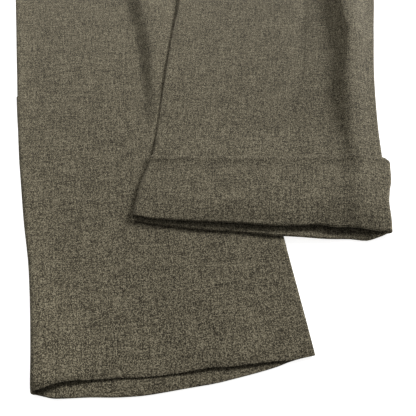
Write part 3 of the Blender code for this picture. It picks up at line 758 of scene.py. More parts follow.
def edge_lift(inside, height):
    """How much the upper leg's edge is lifted, this far inside it."""
    start, full, waning, end = EDGE_LIFT_SPAN
    along = smooth_step((height - start) / (full - start))
    along *= 1 - smooth_step((height - waning) / (end - waning))
    return EDGE_LIFT * along * (1 - smooth_step(inside / EDGE_LIFT_REACH))


class RightHalf(Half):
    """The leg that lies on the table and ends in a plain hem, lower at the back."""

    def __init__(self, *tables, crossing, **sizes):
        super().__init__(*tables, **sizes)
        self.crossing_edge = table_curve(crossing, "inner_x", place="inner_h")
        self.crossing_hem = crossing[0].inner_h * MM

    def side_wrap(self, row):
        at_hem = 1 - smooth_step((row.station - self.hem) / HEM_WRAP_REACH)
        return SIDE_WRAP + HEM_WRAP * at_hem

    def thickness(self, station):
        """The plain hem is doubled cloth."""
        doubled = 1 - smooth_step((station - self.hem - HEM_TURN) / HEM_TURN_STEP)
        return CLOTH + (HEM_CLOTH - CLOTH) * doubled

    def plies(self, row, distance):
        """As on any half, but pressed flat where the other leg lies on it."""
        free = super().plies(row, distance)
        x, h = row.plan(distance)
        inside = x - self.crossing_edge(h / MM) * MM
        covered = smooth_step(inside / PRESSED_RAMP)
        covered *= smooth_step((h - self.crossing_hem) / PRESSED_RAMP)
        covered *= 1 - smooth_step((h - CROSSING_END) / CROSSING_FADE)
        over = free - PRESSED_HEIGHT - edge_lift(max(inside, 0.0), h)
        return free - max(over, 0.0) * covered


class LeftHalf(Half):
    """The leg that crosses over the right one and ends in a turn-up."""

    laid = CROSSING_HEIGHT
    edge_press = EDGE_PRESS
    hem_roll = TURNED_ROLL
    hem_roll_reach = TURNED_ROLL_REACH

    def __init__(self, *tables, carrier, **sizes):
        super().__init__(*tables, **sizes)
        self.carrier_edge = table_curve(carrier, "inner_x", place="inner_h")

    def carried(self, row, distance):
        """How high the lower leg carries this one."""
        x, h = row.plan(distance)
        past_edge = x - self.carrier_edge(h / MM) * MM - CROSSING_SHOULDER
        lift = CROSSING_LIFT * (1 - smooth_step(past_edge / CROSSING_SLOPE))
        lift *= 1 - smooth_step((h - LIFT_END) / LIFT_FADE)
        return lift + edge_lift(max(row.width - distance, 0.0), h)

    def pushed_up(self, row, distance):
        """The front stays up over the hollow beside the lower leg."""
        from_side = smooth_step(distance / HOLLOW_FROM_SIDE)
        below_fork = 1 - smooth_step((row.station - CROSSING_END) / CROSSING_FADE)
        hollow = max(CROSSING_LIFT - self.carried(row, distance), 0.0)
        return HOLLOW_SHARE * hollow * from_side * below_fork

    def underside(self, row, distance):
        lift = self.carried(row, distance)
        rise = row.station - self.hem
        on_turn_up = 1 - smooth_step((rise - TURN_UP_HEIGHT - TURN_UP_EASE) / TURN_UP_SLOPE)
        lift += TURN_UP_OUT * on_turn_up
        return lift + super().underside(row, distance)


RIGHT = RightHalf(RIGHT_OUTLINE, RIGHT_FOLDS, RIGHT_FOLD_HEIGHTS, RIGHT_CREASES, PLAIN_HEM,
                  gape=PLAIN_GAPE, gape_reach=PLAIN_GAPE_REACH, columns=TOP_COLUMNS[0],
                  crossing=LEFT_OUTLINE)
LEFT = LeftHalf(LEFT_OUTLINE, LEFT_FOLDS, LEFT_FOLD_HEIGHTS, LEFT_CREASES, TURNED_HEM,
                gape=TURNED_GAPE, gape_reach=TURNED_GAPE_REACH, columns=TOP_COLUMNS[1],
                carrier=RIGHT_OUTLINE)


# --- Materials ------------------------------------------------------------------------------------
WOOL_DARK = (0.010, 0.008, 0.005)
WOOL_MIDDLE = (0.0700, 0.0600, 0.0380)
WOOL_PALE = (0.225, 0.199, 0.138)
YARN_PITCH = 0.75  # millimetres
SLUB_RATE = 0.05  # how fast the shade drifts along a yarn, a millimetre
FLECK_RATE = 1.0
YARN_STRIDE = 3.713  # keeps neighbouring yarns apart in the noise
CLOUD_SCALE = 42.0
THREAD_COLOUR = (0.060, 0.051, 0.035)
HORN_DARK = (0.022, 0.014, 0.008)
HORN_PALE = (0.110, 0.072, 0.040)


class Nodes:
    """Short calls for adding nodes to one tree and joining them up."""

    def __init__(self, tree):
        self.tree = tree

    def add(self, kind, inputs=None, **settings):
        node = self.tree.nodes.new("ShaderNode" + kind)
        for name, value in settings.items():
            setattr(node, name, value)
        for name, value in (inputs or {}).items():
            socket = node.inputs[name]
            if isinstance(value, bpy.types.NodeSocket):
                self.tree.links.new(value, socket)
            else:
                socket.default_value = value
        return node

    def math(self, operation, first, second=0.0):
        return self.add("Math", {0: first, 1: second}, operation=operation).outputs[0]

    def ramp(self, factor, stops):
        """A colour ramp; stops are (place, grey value or colour)."""
        node = self.add("ValToRGB", {"Fac": factor})
        while len(node.color_ramp.elements) < len(stops):
            node.color_ramp.elements.new(0.5)
        for element, (place, value) in zip(node.color_ramp.elements, stops):
            element.position = place
            colour = value if isinstance(value, tuple) else (value, value, value)
            element.color = (*colour, 1.0)
        return node.outputs["Color"]


def new_group(name, inputs, outputs):
    """An empty node group; inputs are (name, kind, default), outputs are (name, kind)."""
    group = bpy.data.node_groups.new(name, "ShaderNodeTree")
    for label, kind, default in inputs:
        socket = group.interface.new_socket(label, in_out="INPUT", socket_type="NodeSocket" + kind)
        if default is not None:
            socket.default_value = default
    for label, kind in outputs:
        group.interface.new_socket(label, in_out="OUTPUT", socket_type="NodeSocket" + kind)
    nodes = Nodes(group)
    source = group.nodes.new("NodeGroupInput").outputs
    result = group.nodes.new("NodeGroupOutput").inputs
    return group, nodes, source, result


def heather_weave_group():
    """Plain weave of melange yarn: every yarn has its own slubs and short flecks."""
    group, nodes, source, result = new_group(
        "heather_weave",
        (
            ("Cloth", "Vector", None),
            ("Yarn Pitch", "Float", 0.6),
            ("Slub", "Float", 0.5),
            ("Fleck", "Float", 1.0),
            ("Cloud", "Float", 0.1),
            ("Relief", "Float", 0.2),
            ("Dark", "Color", (0.01, 0.01, 0.01, 1.0)),
            ("Middle", "Color", (0.1, 0.1, 0.1, 1.0)),
            ("Pale", "Color", (0.3, 0.3, 0.3, 1.0)),
        ),
        (("Color", "Color"), ("Normal", "Vector")),
    )
    in_mm = nodes.add("VectorMath", {0: source["Cloth"], "Scale": 1000.0}, operation="SCALE")
    sides = nodes.add("SeparateXYZ", {0: in_mm.outputs[0]})
    u, v = sides.outputs[0], sides.outputs[1]
    slubs, flecks = [], []
    for along, beside, seed in ((v, u, 0.0), (u, v, 40.0)):
        yarn = nodes.math("FLOOR", nodes.math("DIVIDE", beside, source["Yarn Pitch"]))
        own = nodes.math("MULTIPLY", yarn, YARN_STRIDE)
        slub_place = nodes.add("CombineXYZ", {0: own, 1: nodes.math("MULTIPLY", along, SLUB_RATE),
                                              2: seed})
        slub = nodes.add("TexNoise", {"Vector": slub_place.outputs[0], "Scale": 1.0, "Detail": 1.0})
        fleck_place = nodes.add("CombineXYZ", {0: own, 1: nodes.math("MULTIPLY", along, FLECK_RATE),
                                               2: seed + 9.0})
        fleck = nodes.add("TexNoise", {"Vector": fleck_place.outputs[0], "Scale": 1.0, "Detail": 1.0})
        slubs.append(slub.outputs["Fac"])
        flecks.append(fleck.outputs["Fac"])
    turns = []
    for side in (u, v):
        turn = nodes.math("MULTIPLY", nodes.math("DIVIDE", side, source["Yarn Pitch"]), math.pi)
        turns.append(nodes.math("SINE", turn))
    crossing = nodes.math("MULTIPLY", turns[0], turns[1])
    over = nodes.math("GREATER_THAN", crossing, 0.0)
    fleck = nodes.add("Mix", {0: over, 2: flecks[0], 3: flecks[1]}).outputs[0]
    slub = nodes.math("MULTIPLY", nodes.math("ADD", slubs[0], slubs[1]), 0.5)
    cloud = nodes.add("TexNoise", {"Vector": source["Cloth"], "Scale": CLOUD_SCALE, "Detail": 2.0,
                                   "Roughness": 0.6}).outputs["Fac"]
    total = 0.5
    for part, amount in ((slub, "Slub"), (fleck, "Fleck"), (cloud, "Cloud")):
        middled = nodes.math("SUBTRACT", part, 0.5)
        total = nodes.math("ADD", total, nodes.math("MULTIPLY", middled, source[amount]))
    lower = nodes.add("MapRange", {0: total, 1: 0.0, 2: 0.5})
    upper = nodes.add("MapRange", {0: total, 1: 0.5, 2: 1.0})
    dark_half = nodes.add("Mix", {0: lower.outputs[0], 6: source["Dark"], 7: source["Middle"]},
                          data_type="RGBA")
    colour = nodes.add("Mix", {0: upper.outputs[0], 6: dark_half.outputs[2], 7: source["Pale"]},
                       data_type="RGBA")
    nodes.tree.links.new(colour.outputs[2], result["Color"])
    bulge = nodes.math("POWER", nodes.math("ABSOLUTE", crossing), 0.6)
    relief = nodes.add("Bump", {"Height": bulge, "Strength": source["Relief"], "Distance": 0.0002})
    nodes.tree.links.new(relief.outputs[0], result["Normal"])
    return group


def new_material(name):
    material = bpy.data.materials.new(name)
    material.use_nodes = True
    shader = material.node_tree.nodes["Principled BSDF"]
    return material, Nodes(material.node_tree), shader


def wool_material(name, weave, slub, fleck, cloud, relief, roughness):
    material, nodes, shader = new_material(name)
    cloth = nodes.add("UVMap", uv_map="cloth")
    woven = nodes.add("Group", node_tree=weave)
    nodes.tree.links.new(cloth.outputs[0], woven.inputs["Cloth"])
    for label, value in (
        ("Yarn Pitch", YARN_PITCH),
        ("Slub", slub),
        ("Fleck", fleck),
        ("Cloud", cloud),
        ("Relief", relief),
        ("Dark", (*WOOL_DARK, 1.0)),
        ("Middle", (*WOOL_MIDDLE, 1.0)),
        ("Pale", (*WOOL_PALE, 1.0)),
    ):
        woven.inputs[label].default_value = value
    nodes.tree.links.new(woven.outputs["Color"], shader.inputs["Base Color"])
    nodes.tree.links.new(woven.outputs["Normal"], shader.inputs["Normal"])
    shader.inputs["Roughness"].default_value = roughness
    shader.inputs["Specular IOR Level"].default_value = 0.12
    shader.inputs["Sheen Weight"].default_value = 0.22
    shader.inputs["Sheen Roughness"].default_value = 0.45
    shader.inputs["Sheen Tint"].default_value = (0.80, 0.74, 0.62, 1.0)
    return material


def thread_material():
    material, nodes, shader = new_material("sewing_thread")
    place = nodes.add("TexCoord")
    twist = nodes.add("TexWave", {"Vector": place.outputs["Object"], "Scale": 900.0,
                                  "Distortion": 1.0}, bands_direction="DIAGONAL")
    colour = nodes.ramp(twist.outputs["Fac"], (
        (0.0, tuple(0.6 * part for part in THREAD_COLOUR)), (1.0, THREAD_COLOUR)))
    nodes.tree.links.new(colour, shader.inputs["Base Color"])
    shader.inputs["Roughness"].default_value = 0.55
    return material


def horn_material():
    """Brown horn with soft streaks."""
    material, nodes, shader = new_material("horn_button")
    place = nodes.add("TexCoord")
    stretched = nodes.add("Mapping", {"Vector": place.outputs["Object"],
                                      "Scale": (160.0, 620.0, 160.0), "Rotation": (0, 0, 0.6)})
    streak = nodes.add("TexNoise", {"Vector": stretched.outputs[0], "Scale": 1.0, "Detail": 3.0,
                                    "Distortion": 0.8})
    colour = nodes.ramp(streak.outputs["Fac"], ((0.32, HORN_DARK), (0.72, HORN_PALE)))
    nodes.tree.links.new(colour, shader.inputs["Base Color"])
    wear = nodes.ramp(streak.outputs["Fac"], ((0.3, 0.22), (0.8, 0.42)))
    nodes.tree.links.new(wear, shader.inputs["Roughness"])
    return material


WEAVE = heather_weave_group()
WOOL = wool_material("heather_wool", WEAVE, slub=1.35, fleck=3.5, cloud=0.22, relief=0.30,
                     roughness=0.92)
PRESSED_WOOL = wool_material("pressed_wool", WEAVE, slub=1.25, fleck=3.1, cloud=0.20, relief=0.25,
                             roughness=0.82)
THREAD = thread_material()
HORN = horn_material()


# --- Making cloth ---------------------------------------------------------------------------------
SHARP_ANGLE = math.radians(55)
PANEL_SEED = 0.37  # moves each panel to another place in the weave


def new_object(name, mesh, material, slot=None):
    """A smooth object; with a slot it is a piece that rides on the garment."""
    mesh.materials.append(material)
    mesh.shade_smooth()
    mesh.set_sharp_from_angle(angle=SHARP_ANGLE)
    piece = bpy.data.objects.new(name, mesh)
    bpy.context.scene.collection.objects.link(piece)
    if slot:
        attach(piece, "root")
    return piece


def write_outward(work, mesh):
    """Writes a closed shape to a mesh, with its faces turned outward."""
    bmesh.ops.recalc_face_normals(work, faces=work.faces)
    work.to_mesh(mesh)
    work.free()


def cloth_places(grid, stations):
    """Each point's place on the flat cloth: the way along its row from its middle, and its station."""
    places = []
    for row, station in zip(grid, stations):
        along = [0.0]
        for before, after in zip(row, row[1:]):
            along.append(along[-1] + (after - before).length)
        middle = along[len(along) // 2]
        places += [(u - middle, station) for u in along]
    return places


def wall_faces(rows, columns):
    """Faces of a closed shell: its outside, its inside, and the four narrow edges between them."""
    under = rows * columns
    faces = []
    for r in range(rows - 1):
        for c in range(columns - 1):
            a, b = r * columns + c, (r + 1) * columns + c
            faces.append((a, a + 1, b + 1, b))
            faces.append((under + a, under + b, under + b + 1, under + a + 1))
    for c in range(columns - 1):
        faces.append((c + 1, c, under + c, under + c + 1))
        last = (rows - 1) * columns + c
        faces.append((last, last + 1, under + last + 1, under + last))
    for r in range(rows - 1):
        a, b = r * columns, (r + 1) * columns
        faces.append((a, b, under + b, under + a))
        a, b = a + columns - 1, b + columns - 1
        faces.append((b, a, under + a, under + b))
    return faces


def wall(name, outside, inside, stations, material=WOOL, seed=0.0):
    """A closed shell of cloth between two grids of points with the same rows and columns."""
    mesh = bpy.data.meshes.new(name)
    points = [point for grid in (outside, inside) for row in grid for point in row]
    mesh.from_pydata(points, [], wall_faces(len(outside), len(outside[0])))
    work = bmesh.new()
    work.from_mesh(mesh)
    write_outward(work, mesh)
    places = cloth_places(outside, stations) * 2
    corners = [0] * len(mesh.loops)
    mesh.loops.foreach_get("vertex_index", corners)
    flat = []
    for corner in corners:
        u, v = places[corner]
        flat += (u + seed, v + seed)
    mesh.uv_layers.new(name="cloth").data.foreach_set("uv", flat)
    return new_object(name, mesh, material, "wool")


def stepped(start, end, step):
    """Stations from start to end, without the end itself."""
    count = max(1, round((end - start) / step))
    return [start + (end - start) * i / count for i in range(count)]


def rounded(from_edge, radius):
    """Share of the full thickness this far in from a rounded edge."""
    if from_edge >= radius:
        return 1.0
    return math.sqrt(max(1 - (1 - from_edge / radius) ** 2, THIN_EDGE ** 2))


def rounded_end(radius):
    """How a wall closes in a round edge: (rise from the edge, half the thickness there)."""
    angles = [math.radians(degrees) for degrees in EDGE_ANGLES]
    return [(radius * (1 - math.cos(angle)), radius * math.sin(angle)) for angle in angles]


# --- Legs -------------------------------------------------------------------------------------------
def build_panels(half, side, first_rows, rests_on_front, rests_on_back):
    """Front and back of one half. first_rows are (station, outer offset, inner offset)."""
    start = first_rows[-1][0] + FINE_STEP
    front = stepped(start, FINE_END, FINE_STEP) + stepped(FINE_END, WAIST_STATION, COARSE_STEP)
    back = stepped(start, WAIST_STATION, BACK_STEP)
    for kind, stations, outer_face, inner_face, rests_on in (
        ("front", front, half.front_row, half.lining_row, rests_on_front),
        ("back", back, half.back_row, half.back_row, rests_on_back),
    ):
        rows = list(first_rows)
        for station in stations + [WAIST_STATION]:
            rows.append((station, 0.0, -half.thickness(station)))
        outside = [outer_face(half.row(station), out) for station, out, inward in rows]
        inside = [inner_face(half.row(station), inward) for station, out, inward in rows]
        places = [row[0] for row in rows]
        name = "%s_%s" % (kind, side)
        piece = wall(name + "_cloth", outside, inside, places, seed=PANEL_SEED * len(name))
        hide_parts(name)


def build_legs():
    radius = HEM_CLOTH / 2
    hem_edge = [
        (RIGHT.hem + rise, reach - radius, -reach - radius) for rise, reach in rounded_end(radius)
    ]
    build_panels(RIGHT, "right", hem_edge, ["back_right_cloth"], ["floor"])
    start = LEFT.hem + TURN_UP_FOLD / 2 + 2 * HAIR
    build_panels(LEFT, "left", [(start, 0.0, -CLOTH)], ["back_left_cloth"],
                 ["front_right_cloth", "cuff_back_left_cloth"])


SIDE_ALLOWANCES = table(
    "name half length",
    ("right", RIGHT, 0.300),
    ("left", LEFT, 0.250),
)
SIDE_ALLOWANCE = 0.009  # to each side of the seam
ALLOWANCE_THICKNESS = 0.0007
ALLOWANCE_START = 0.0008  # how far inside the hem it begins
ALLOWANCE_STEP = 0.005
ALLOWANCE_EDGE = 0.0006
ALLOWANCE_PLACES = (-1.0, -0.93, -0.6, -0.2, -0.05, 0.0, 0.05, 0.2, 0.6, 0.93, 1.0)


def allowance_row(half, row):
    """The upper and lower face of a pressed-open side seam, thin at its edges and at the seam."""
    seam = half.side_wrap(row)
    base = half.underside(row, seam) + HEM_CLOTH + HAIR
    upper, lower = [], []
    for place in ALLOWANCE_PLACES:
        from_edge = (1 - abs(place)) * SIDE_ALLOWANCE + HAIR
        from_seam = abs(place) * SIDE_ALLOWANCE + HAIR
        share = min(rounded(from_edge, ALLOWANCE_EDGE), rounded(from_seam, ALLOWANCE_EDGE))
        distance = seam + place * SIDE_ALLOWANCE
        upper.append(half.place(row, distance, base + ALLOWANCE_THICKNESS * share, 1.0))
        lower.append(half.place(row, distance, base, 1.0))
    return upper, lower


def build_side_allowances():
    """The pressed-open allowances of the side seams, which show inside both hems."""
    for item in SIDE_ALLOWANCES:
        hem = item.half.hem
        places = stepped(hem + ALLOWANCE_START, hem + item.length, ALLOWANCE_STEP)
        rows = [allowance_row(item.half, item.half.row(station)) for station in places]
        outside, inside = [row[0] for row in rows], [row[1] for row in rows]
        piece = wall("side_seam_allowance_" + item.name, outside, inside, places, seed=2.3)


# --- Turn-up ----------------------------------------------------------------------------------------
OUTER_FLARE = table_curve(TURN_UP_FLARE, "outer", place="rise")
INNER_FLARE = table_curve(TURN_UP_FLARE, "inner", place="rise")


def turn_up_rows():
    """Rows of the turn-up: (rise, outer offset, inner offset), round at both ends."""
    fold_middle = (TURN_UP_OUT - CLOTH) / 2
    fold_radius = TURN_UP_FOLD / 2
    rows = [
        (rise, fold_middle + reach, fold_middle - reach) for rise, reach in rounded_end(fold_radius)
    ]
    top_middle = (TURN_UP_OUT + SEAM_GAP) / 2
    top_radius = TURN_UP_WALL / 2
    for rise in stepped(fold_radius + HAIR, TURN_UP_HEIGHT - top_radius, FINE_STEP):
        rows.append((rise, TURN_UP_OUT, SEAM_GAP))
    for rise, reach in reversed(rounded_end(top_radius)):
        rows.append((TURN_UP_HEIGHT - rise, top_middle + reach, top_middle - reach))
    return rows


def turn_up_row(kind, rise, out):
    """One row of the front or back half, with its flare and its lifted upper edge."""
    row = LEFT.row(LEFT.hem + rise)
    outer, inner = OUTER_FLARE(rise / MM) * MM, INNER_FLARE(rise / MM) * MM
    from_crest = (TURN_UP_HEIGHT - rise - TURN_UP_LIP_CREST) / TURN_UP_LIP_REACH
    lip = TURN_UP_LIP * math.exp(-from_crest ** 2)
    if kind == "front":
        return LEFT.front_row(row, out + lip, (outer, inner), under=out)
    return LEFT.back_row(row, out, (outer, inner + lip))


def build_turn_up():
    """The two halves of the turn-up, folded at the bottom and rounded along the top edge."""
    rows = turn_up_rows()
    places = [row[0] for row in rows]
    for kind, rests_on in (("front", ["front_left_cloth"]), ("back", ["front_right_cloth", "floor"])):
        outside = [turn_up_row(kind, rise, out) for rise, out, inward in rows]
        inside = [turn_up_row(kind, rise, inward) for rise, out, inward in rows]
        name = "cuff_%s_left" % kind
        piece = wall(name + "_cloth", outside, inside, places, seed=1.7)
        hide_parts(name)


# --- Waist ------------------------------------------------------------------------------------------
BAND_STEP = 0.0025
BAND_COLUMNS = 60
TABBED_BAND_COLUMNS = 72
BAND_BACK_COLUMNS = 30


def band_row(half, station, out, tab):
    """A waistband row: from the centre front over the top, round the side, under to the back."""
    row = half.row(station)
    end = row.width + (TAB_LENGTH if tab else 0.0)
    points = []
    for distance in eased(end, SIDE_ROLL, TABBED_BAND_COLUMNS if tab else BAND_COLUMNS)[:-1]:
        on_half = min(distance, row.width)
        z = half.top(row, on_half) + out
        if tab:
            past = (distance - row.width + TAB_CLIMB) / TAB_CLIMB
            z += (SEAM_GAP + BAND_WALL) * smooth_step(past)
        points.append(half.place(row, on_half, z, 0.0, max(distance - row.width, 0)))
    points += reversed(half.side_turn(row, out))
    for distance in eased(SIDE_ROLL, row.width, BAND_BACK_COLUMNS)[1:]:
        points.append(half.place(row, distance, half.underside(row, distance) - out, 1.0))
    return points


def build_waistbands():
    """The waistband's two halves; each is cut double its height and folded along its top edge."""
    bottom = WAIST_STATION + SEAM_GAP
    radius = BAND_WALL / 2
    rows = rounded_end(radius)
    rows += [(rise, radius) for rise in stepped(2 * radius, BAND_HEIGHT - radius, BAND_STEP)]
    rows += [(BAND_HEIGHT - rise, reach) for rise, reach in reversed(rounded_end(radius))]
    places = [rise for rise, reach in rows]
    middle = BAND_OUT - radius
    for side, half, tab in (("right", RIGHT, False), ("left", LEFT, True)):
        outside = [band_row(half, bottom + rise, middle + reach, tab) for rise, reach in rows]
        inside = [band_row(half, bottom + rise, middle - reach, tab) for rise, reach in rows]
        piece = wall("waistband_%s_cloth" % side, outside, inside, places, PRESSED_WOOL, 3.1)
        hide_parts("waistband_" + side)


def laid_patch(name, half, rows, clearance=SEAM_GAP, material=WOOL):
    """A piece on a front; rows are (station, [(distance from the side fold, thickness), ...])."""
    outside, inside = [], []
    for station, spots in rows:
        row = half.row(station)
        outer_row, inner_row = [], []
        for distance, thickness in spots:
            z = half.top(row, distance) + clearance
            outer_row.append(half.place(row, distance, z + thickness))
            inner_row.append(half.place(row, distance, z))
        outside.append(outer_row)
        inside.append(inner_row)
    return wall(name, outside, inside, [station for station, spots in rows], material, 5.3)


FLY_START = WAIST_STATION - FLY_LENGTH
FLY_STEP = 0.004
FLY_PLACES = (1.0, 0.97, 0.92, 0.85, 0.76, 0.64, 0.5, 0.36, 0.24, 0.14, 0.07, 0.035, 0.01, 0)
FLY_INSET = 0.0006  # its free edge lies this far from the centre
FLY_EDGE = 0.0012
FLY_FULLNESS = 0.9
FLY_SEWN_SHARE = 0.12  # of the thickness is left along the stitching
FLY_SEWN_WIDTH = 0.012
FLY_FOOT = 0.25  # how far round its curve the foot starts, and how fast it widens
FLY_WIDENING = 2.2


def fly_reach(station):
    """Width of the fly, which rounds off towards its foot."""
    up = (station - FLY_START) / FLY_LENGTH
    return FLY_WIDTH * math.sin(math.pi / 2 * min(1.0, FLY_FOOT + up * FLY_WIDENING))


def build_fly():
    """The fly lies left over right; its free edge is at the centre and its stitching makes a J."""
    rows = []
    for station in stepped(FLY_START, WAIST_STATION - HAIR, FLY_STEP):
        width = LEFT.row(station).width
        reach = fly_reach(station)
        spots = []
        for share in FLY_PLACES:
            free = rounded(reach * share + HAIR, FLY_EDGE)
            from_stitching = reach * (1 - share) - 0.001
            fade = smooth_step(from_stitching / FLY_SEWN_WIDTH)
            sewn = FLY_SEWN_SHARE + (1 - FLY_SEWN_SHARE) * fade
            thickness = FLY_WALL * FLY_FULLNESS * free * sewn
            spots.append((width - FLY_INSET - reach * share, thickness))
        rows.append((station, spots))
    piece = laid_patch("fly_cloth", LEFT, rows, material=PRESSED_WOOL)
    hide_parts("fly")


CENTRE_ALLOWANCE = 0.008  # to each side of the centre seam
CENTRE_START = 0.770
CENTRE_STEP = 0.006
CENTRE_EDGE = 0.0008
CENTRE_PLACES = (-1.0, -0.9, -0.5, 0.0, 0.5, 0.9, 1.0)
ALLOWANCE_DROP = 0.0017  # from the front's upper face to the allowance's lower face


def build_centre_allowance():
    """The seam allowances inside the front, pressed open behind the centre seam."""
    rows = []
    for station in stepped(CENTRE_START, WAIST_STATION - HAIR, CENTRE_STEP):
        width = LEFT.row(station).width
        spots = []
        for side in CENTRE_PLACES:
            thick = CLOTH * rounded((1 - abs(side)) * CENTRE_ALLOWANCE + HAIR, CENTRE_EDGE)
            spots.append((width + side * CENTRE_ALLOWANCE, thick))
        rows.append((station, spots))
    piece = laid_patch("centre_seam_allowance", LEFT, rows, clearance=-ALLOWANCE_DROP)


POCKET_LINE = table(
    "station from_side",
    (882, 9),
    (930, 16),
    (985, 28),
    (1044, 44),
)
POCKET_MOUTH = table_curve(POCKET_LINE, "from_side")
POCKET_STEP = 0.004
POCKET_PLACES = (0.0, 0.03, 0.09, 0.18, 0.32, 0.5, 0.68, 0.84, 1.0)
POCKET_ROUND = 0.0010
POCKET_THINNING = 0.85


def build_pocket_edges():
    """The folded edge along each slanted side pocket, thickest at the mouth."""
    low, high = POCKET_LINE[0].station * MM, POCKET_LINE[-1].station * MM
    for side, half in (("right", RIGHT), ("left", LEFT)):
        rows = []
        for station in stepped(low, high + HAIR, POCKET_STEP):
            spots = []
            for share in POCKET_PLACES:
                inward = POCKET_EDGE_WIDTH * share
                thick = rounded(inward + HAIR, POCKET_ROUND)
                thick *= 1 - POCKET_THINNING * smooth_step(share * 1.1)
                spots.append((POCKET_MOUTH(station / MM) * MM + inward, POCKET_EDGE_WALL * thick))
            rows.append((station, spots))
        name = "pocket_edge_" + side
        piece = laid_patch(name + "_cloth", half, rows, material=PRESSED_WOOL)
        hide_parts(name)


LOOPS = table(
    "half from_centre below",
    (RIGHT, 0.098, False),
    (LEFT, 0.098, False),
    (RIGHT, 0.192, False),
    (LEFT, 0.192, False),
    (RIGHT, 0.105, True),
    (LEFT, 0.105, True),
    (LEFT, 0.0, True),
)
LOOP_SIDES = (-1.0, -0.96, -0.86, -0.6, -0.2, 0.2, 0.6, 0.86, 0.96, 1.0)
LOOP_SPACES = 28
LOOP_BOTTOM = WAIST_STATION - LOOP_TAIL
LOOP_TOP = WAIST_STATION + BAND_HEIGHT - 0.001  # just under the band's top edge
LOOP_END_ROUND = 0.001
LOOP_SIDE_ROUND = 0.0007
LOOP_RIDGE = 0.00012  # its two folded edges meet in a faint line down the middle


def loop_level(loop, station, slide):
    """Height of a belt loop's inner face."""
    if loop.below:
        return 0.0
    level = 0.0
    for other in (station, WAIST_STATION - 0.001, WAIST_STATION + BAND_HEIGHT / 2):
        row = loop.half.row(other)
        level = max(level, loop.half.top(row, row.width - loop.from_centre + slide))
    along = (station - LOOP_BOTTOM) / (LOOP_TOP - LOOP_BOTTOM)
    return level + BAND_OUT + SEAM_GAP + LOOP_ARCH * math.sin(math.pi * min(max(along, 0), 1))


def loop_point(loop, station, slide, lift):
    row = loop.half.row(station)
    level = loop_level(loop, station, slide) + lift
    return loop.half.place(row, row.width - loop.from_centre, level, float(loop.below), slide)


def loop_row(loop, station):
    """The outer and inner face of a belt loop at one station."""
    ends = min(rounded(station - LOOP_BOTTOM + HAIR, LOOP_END_ROUND),
               rounded(LOOP_TOP - station + HAIR, LOOP_END_ROUND))
    outer_row, inner_row = [], []
    for side in LOOP_SIDES:
        slide = side * LOOP_WIDTH / 2
        from_side = (1 - abs(side)) * LOOP_WIDTH / 2
        thick = LOOP_THICKNESS * ends * rounded(from_side, LOOP_SIDE_ROUND)
        ridge = LOOP_RIDGE * math.cos(side * math.pi * 2)
        start = (LOOP_THICKNESS - thick) / 2
        outer_row.append(loop_point(loop, station, slide, start + thick - ridge))
        inner_row.append(loop_point(loop, station, slide, start))
    return (inner_row, outer_row) if loop.below else (outer_row, inner_row)


def build_belt_loops():
    """Belt loops stand over the waistband on top, and lie flat on the table underneath it."""
    places = eased(LOOP_BOTTOM, LOOP_TOP, LOOP_SPACES)
    for number, loop in enumerate(LOOPS, start=1):
        rows = [loop_row(loop, station) for station in places]
        outside, inside = [row[0] for row in rows], [row[1] for row in rows]
        name = "belt_loop_%d" % number
        piece = wall(name + "_cloth", outside, inside, places, PRESSED_WOOL, 7.7)
        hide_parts(name)


# --- Button -----------------------------------------------------------------------------------------
BUTTON_FROM_END = 0.017  # from the tab's end to the button's middle
BUTTON_HOLE_ANGLES = (45, 135, 225, 315)
BUTTON_SPACES = 72  # round the button
HOLE_SPACES = 24
BUTTON_FACE = 0.66  # height of the sunk face, as a share of the thickness
BUTTON_PROFILE = table(
    "inward height",  # from the button's edge in mm, and share of the thickness
    (8.5, 0.0),
    (1.8, 0.0),
    (0.7, 0.1),
    (0.1, 0.33),
    (0.0, 0.58),
    (0.3, 0.83),
    (0.8, 0.97),
    (1.4, 1.0),
    (2.0, 0.93),
    (2.6, 0.76),
    (3.4, 0.69),
    (8.5, BUTTON_FACE),
)


def button_spot():
    row = LEFT.row(WAIST_STATION + BAND_HEIGHT / 2)
    level = LEFT.top(row, row.width) + BAND_OUT + SEAM_GAP + BAND_WALL + SEAM_GAP
    return LEFT.place(row, row.width, level, 0.0, TAB_LENGTH - BUTTON_FROM_END)


def button_holes():
    """Middles of the button's four holes, on its lower face."""
    spot = button_spot()
    holes = []
    for degrees in BUTTON_HOLE_ANGLES:
        angle = math.radians(degrees)
        way = Vector((math.cos(angle), math.sin(angle), 0.0))
        holes.append(spot + way * BUTTON_HOLE_OFFSET)
    return holes


def work_object(name, work, material, slot=None):
    """An object of a shape that was modelled in place."""
    mesh = bpy.data.meshes.new(name)
    write_outward(work, mesh)
    return new_object(name, mesh, material, slot)


def drill(button, holes):
    """Cuts round holes right through the button."""
    cutters = []
    for hole in holes:
        work = bmesh.new()
        bmesh.ops.create_cone(work, cap_ends=True, segments=HOLE_SPACES,
                              radius1=BUTTON_HOLE_RADIUS, radius2=BUTTON_HOLE_RADIUS,
                              depth=BUTTON_THICKNESS * 3)
        bmesh.ops.translate(work, verts=work.verts, vec=hole)
        cutter = work_object("hole_cutter", work, HORN)
        button.modifiers.new("hole", "BOOLEAN").object = cutter
        cutters.append(cutter)
    drilled = button.evaluated_get(bpy.context.evaluated_depsgraph_get())
    mesh = bpy.data.meshes.new_from_object(drilled)
    button.modifiers.clear()
    button.data = mesh
    for cutter in cutters:
        bpy.data.objects.remove(cutter, do_unlink=True)


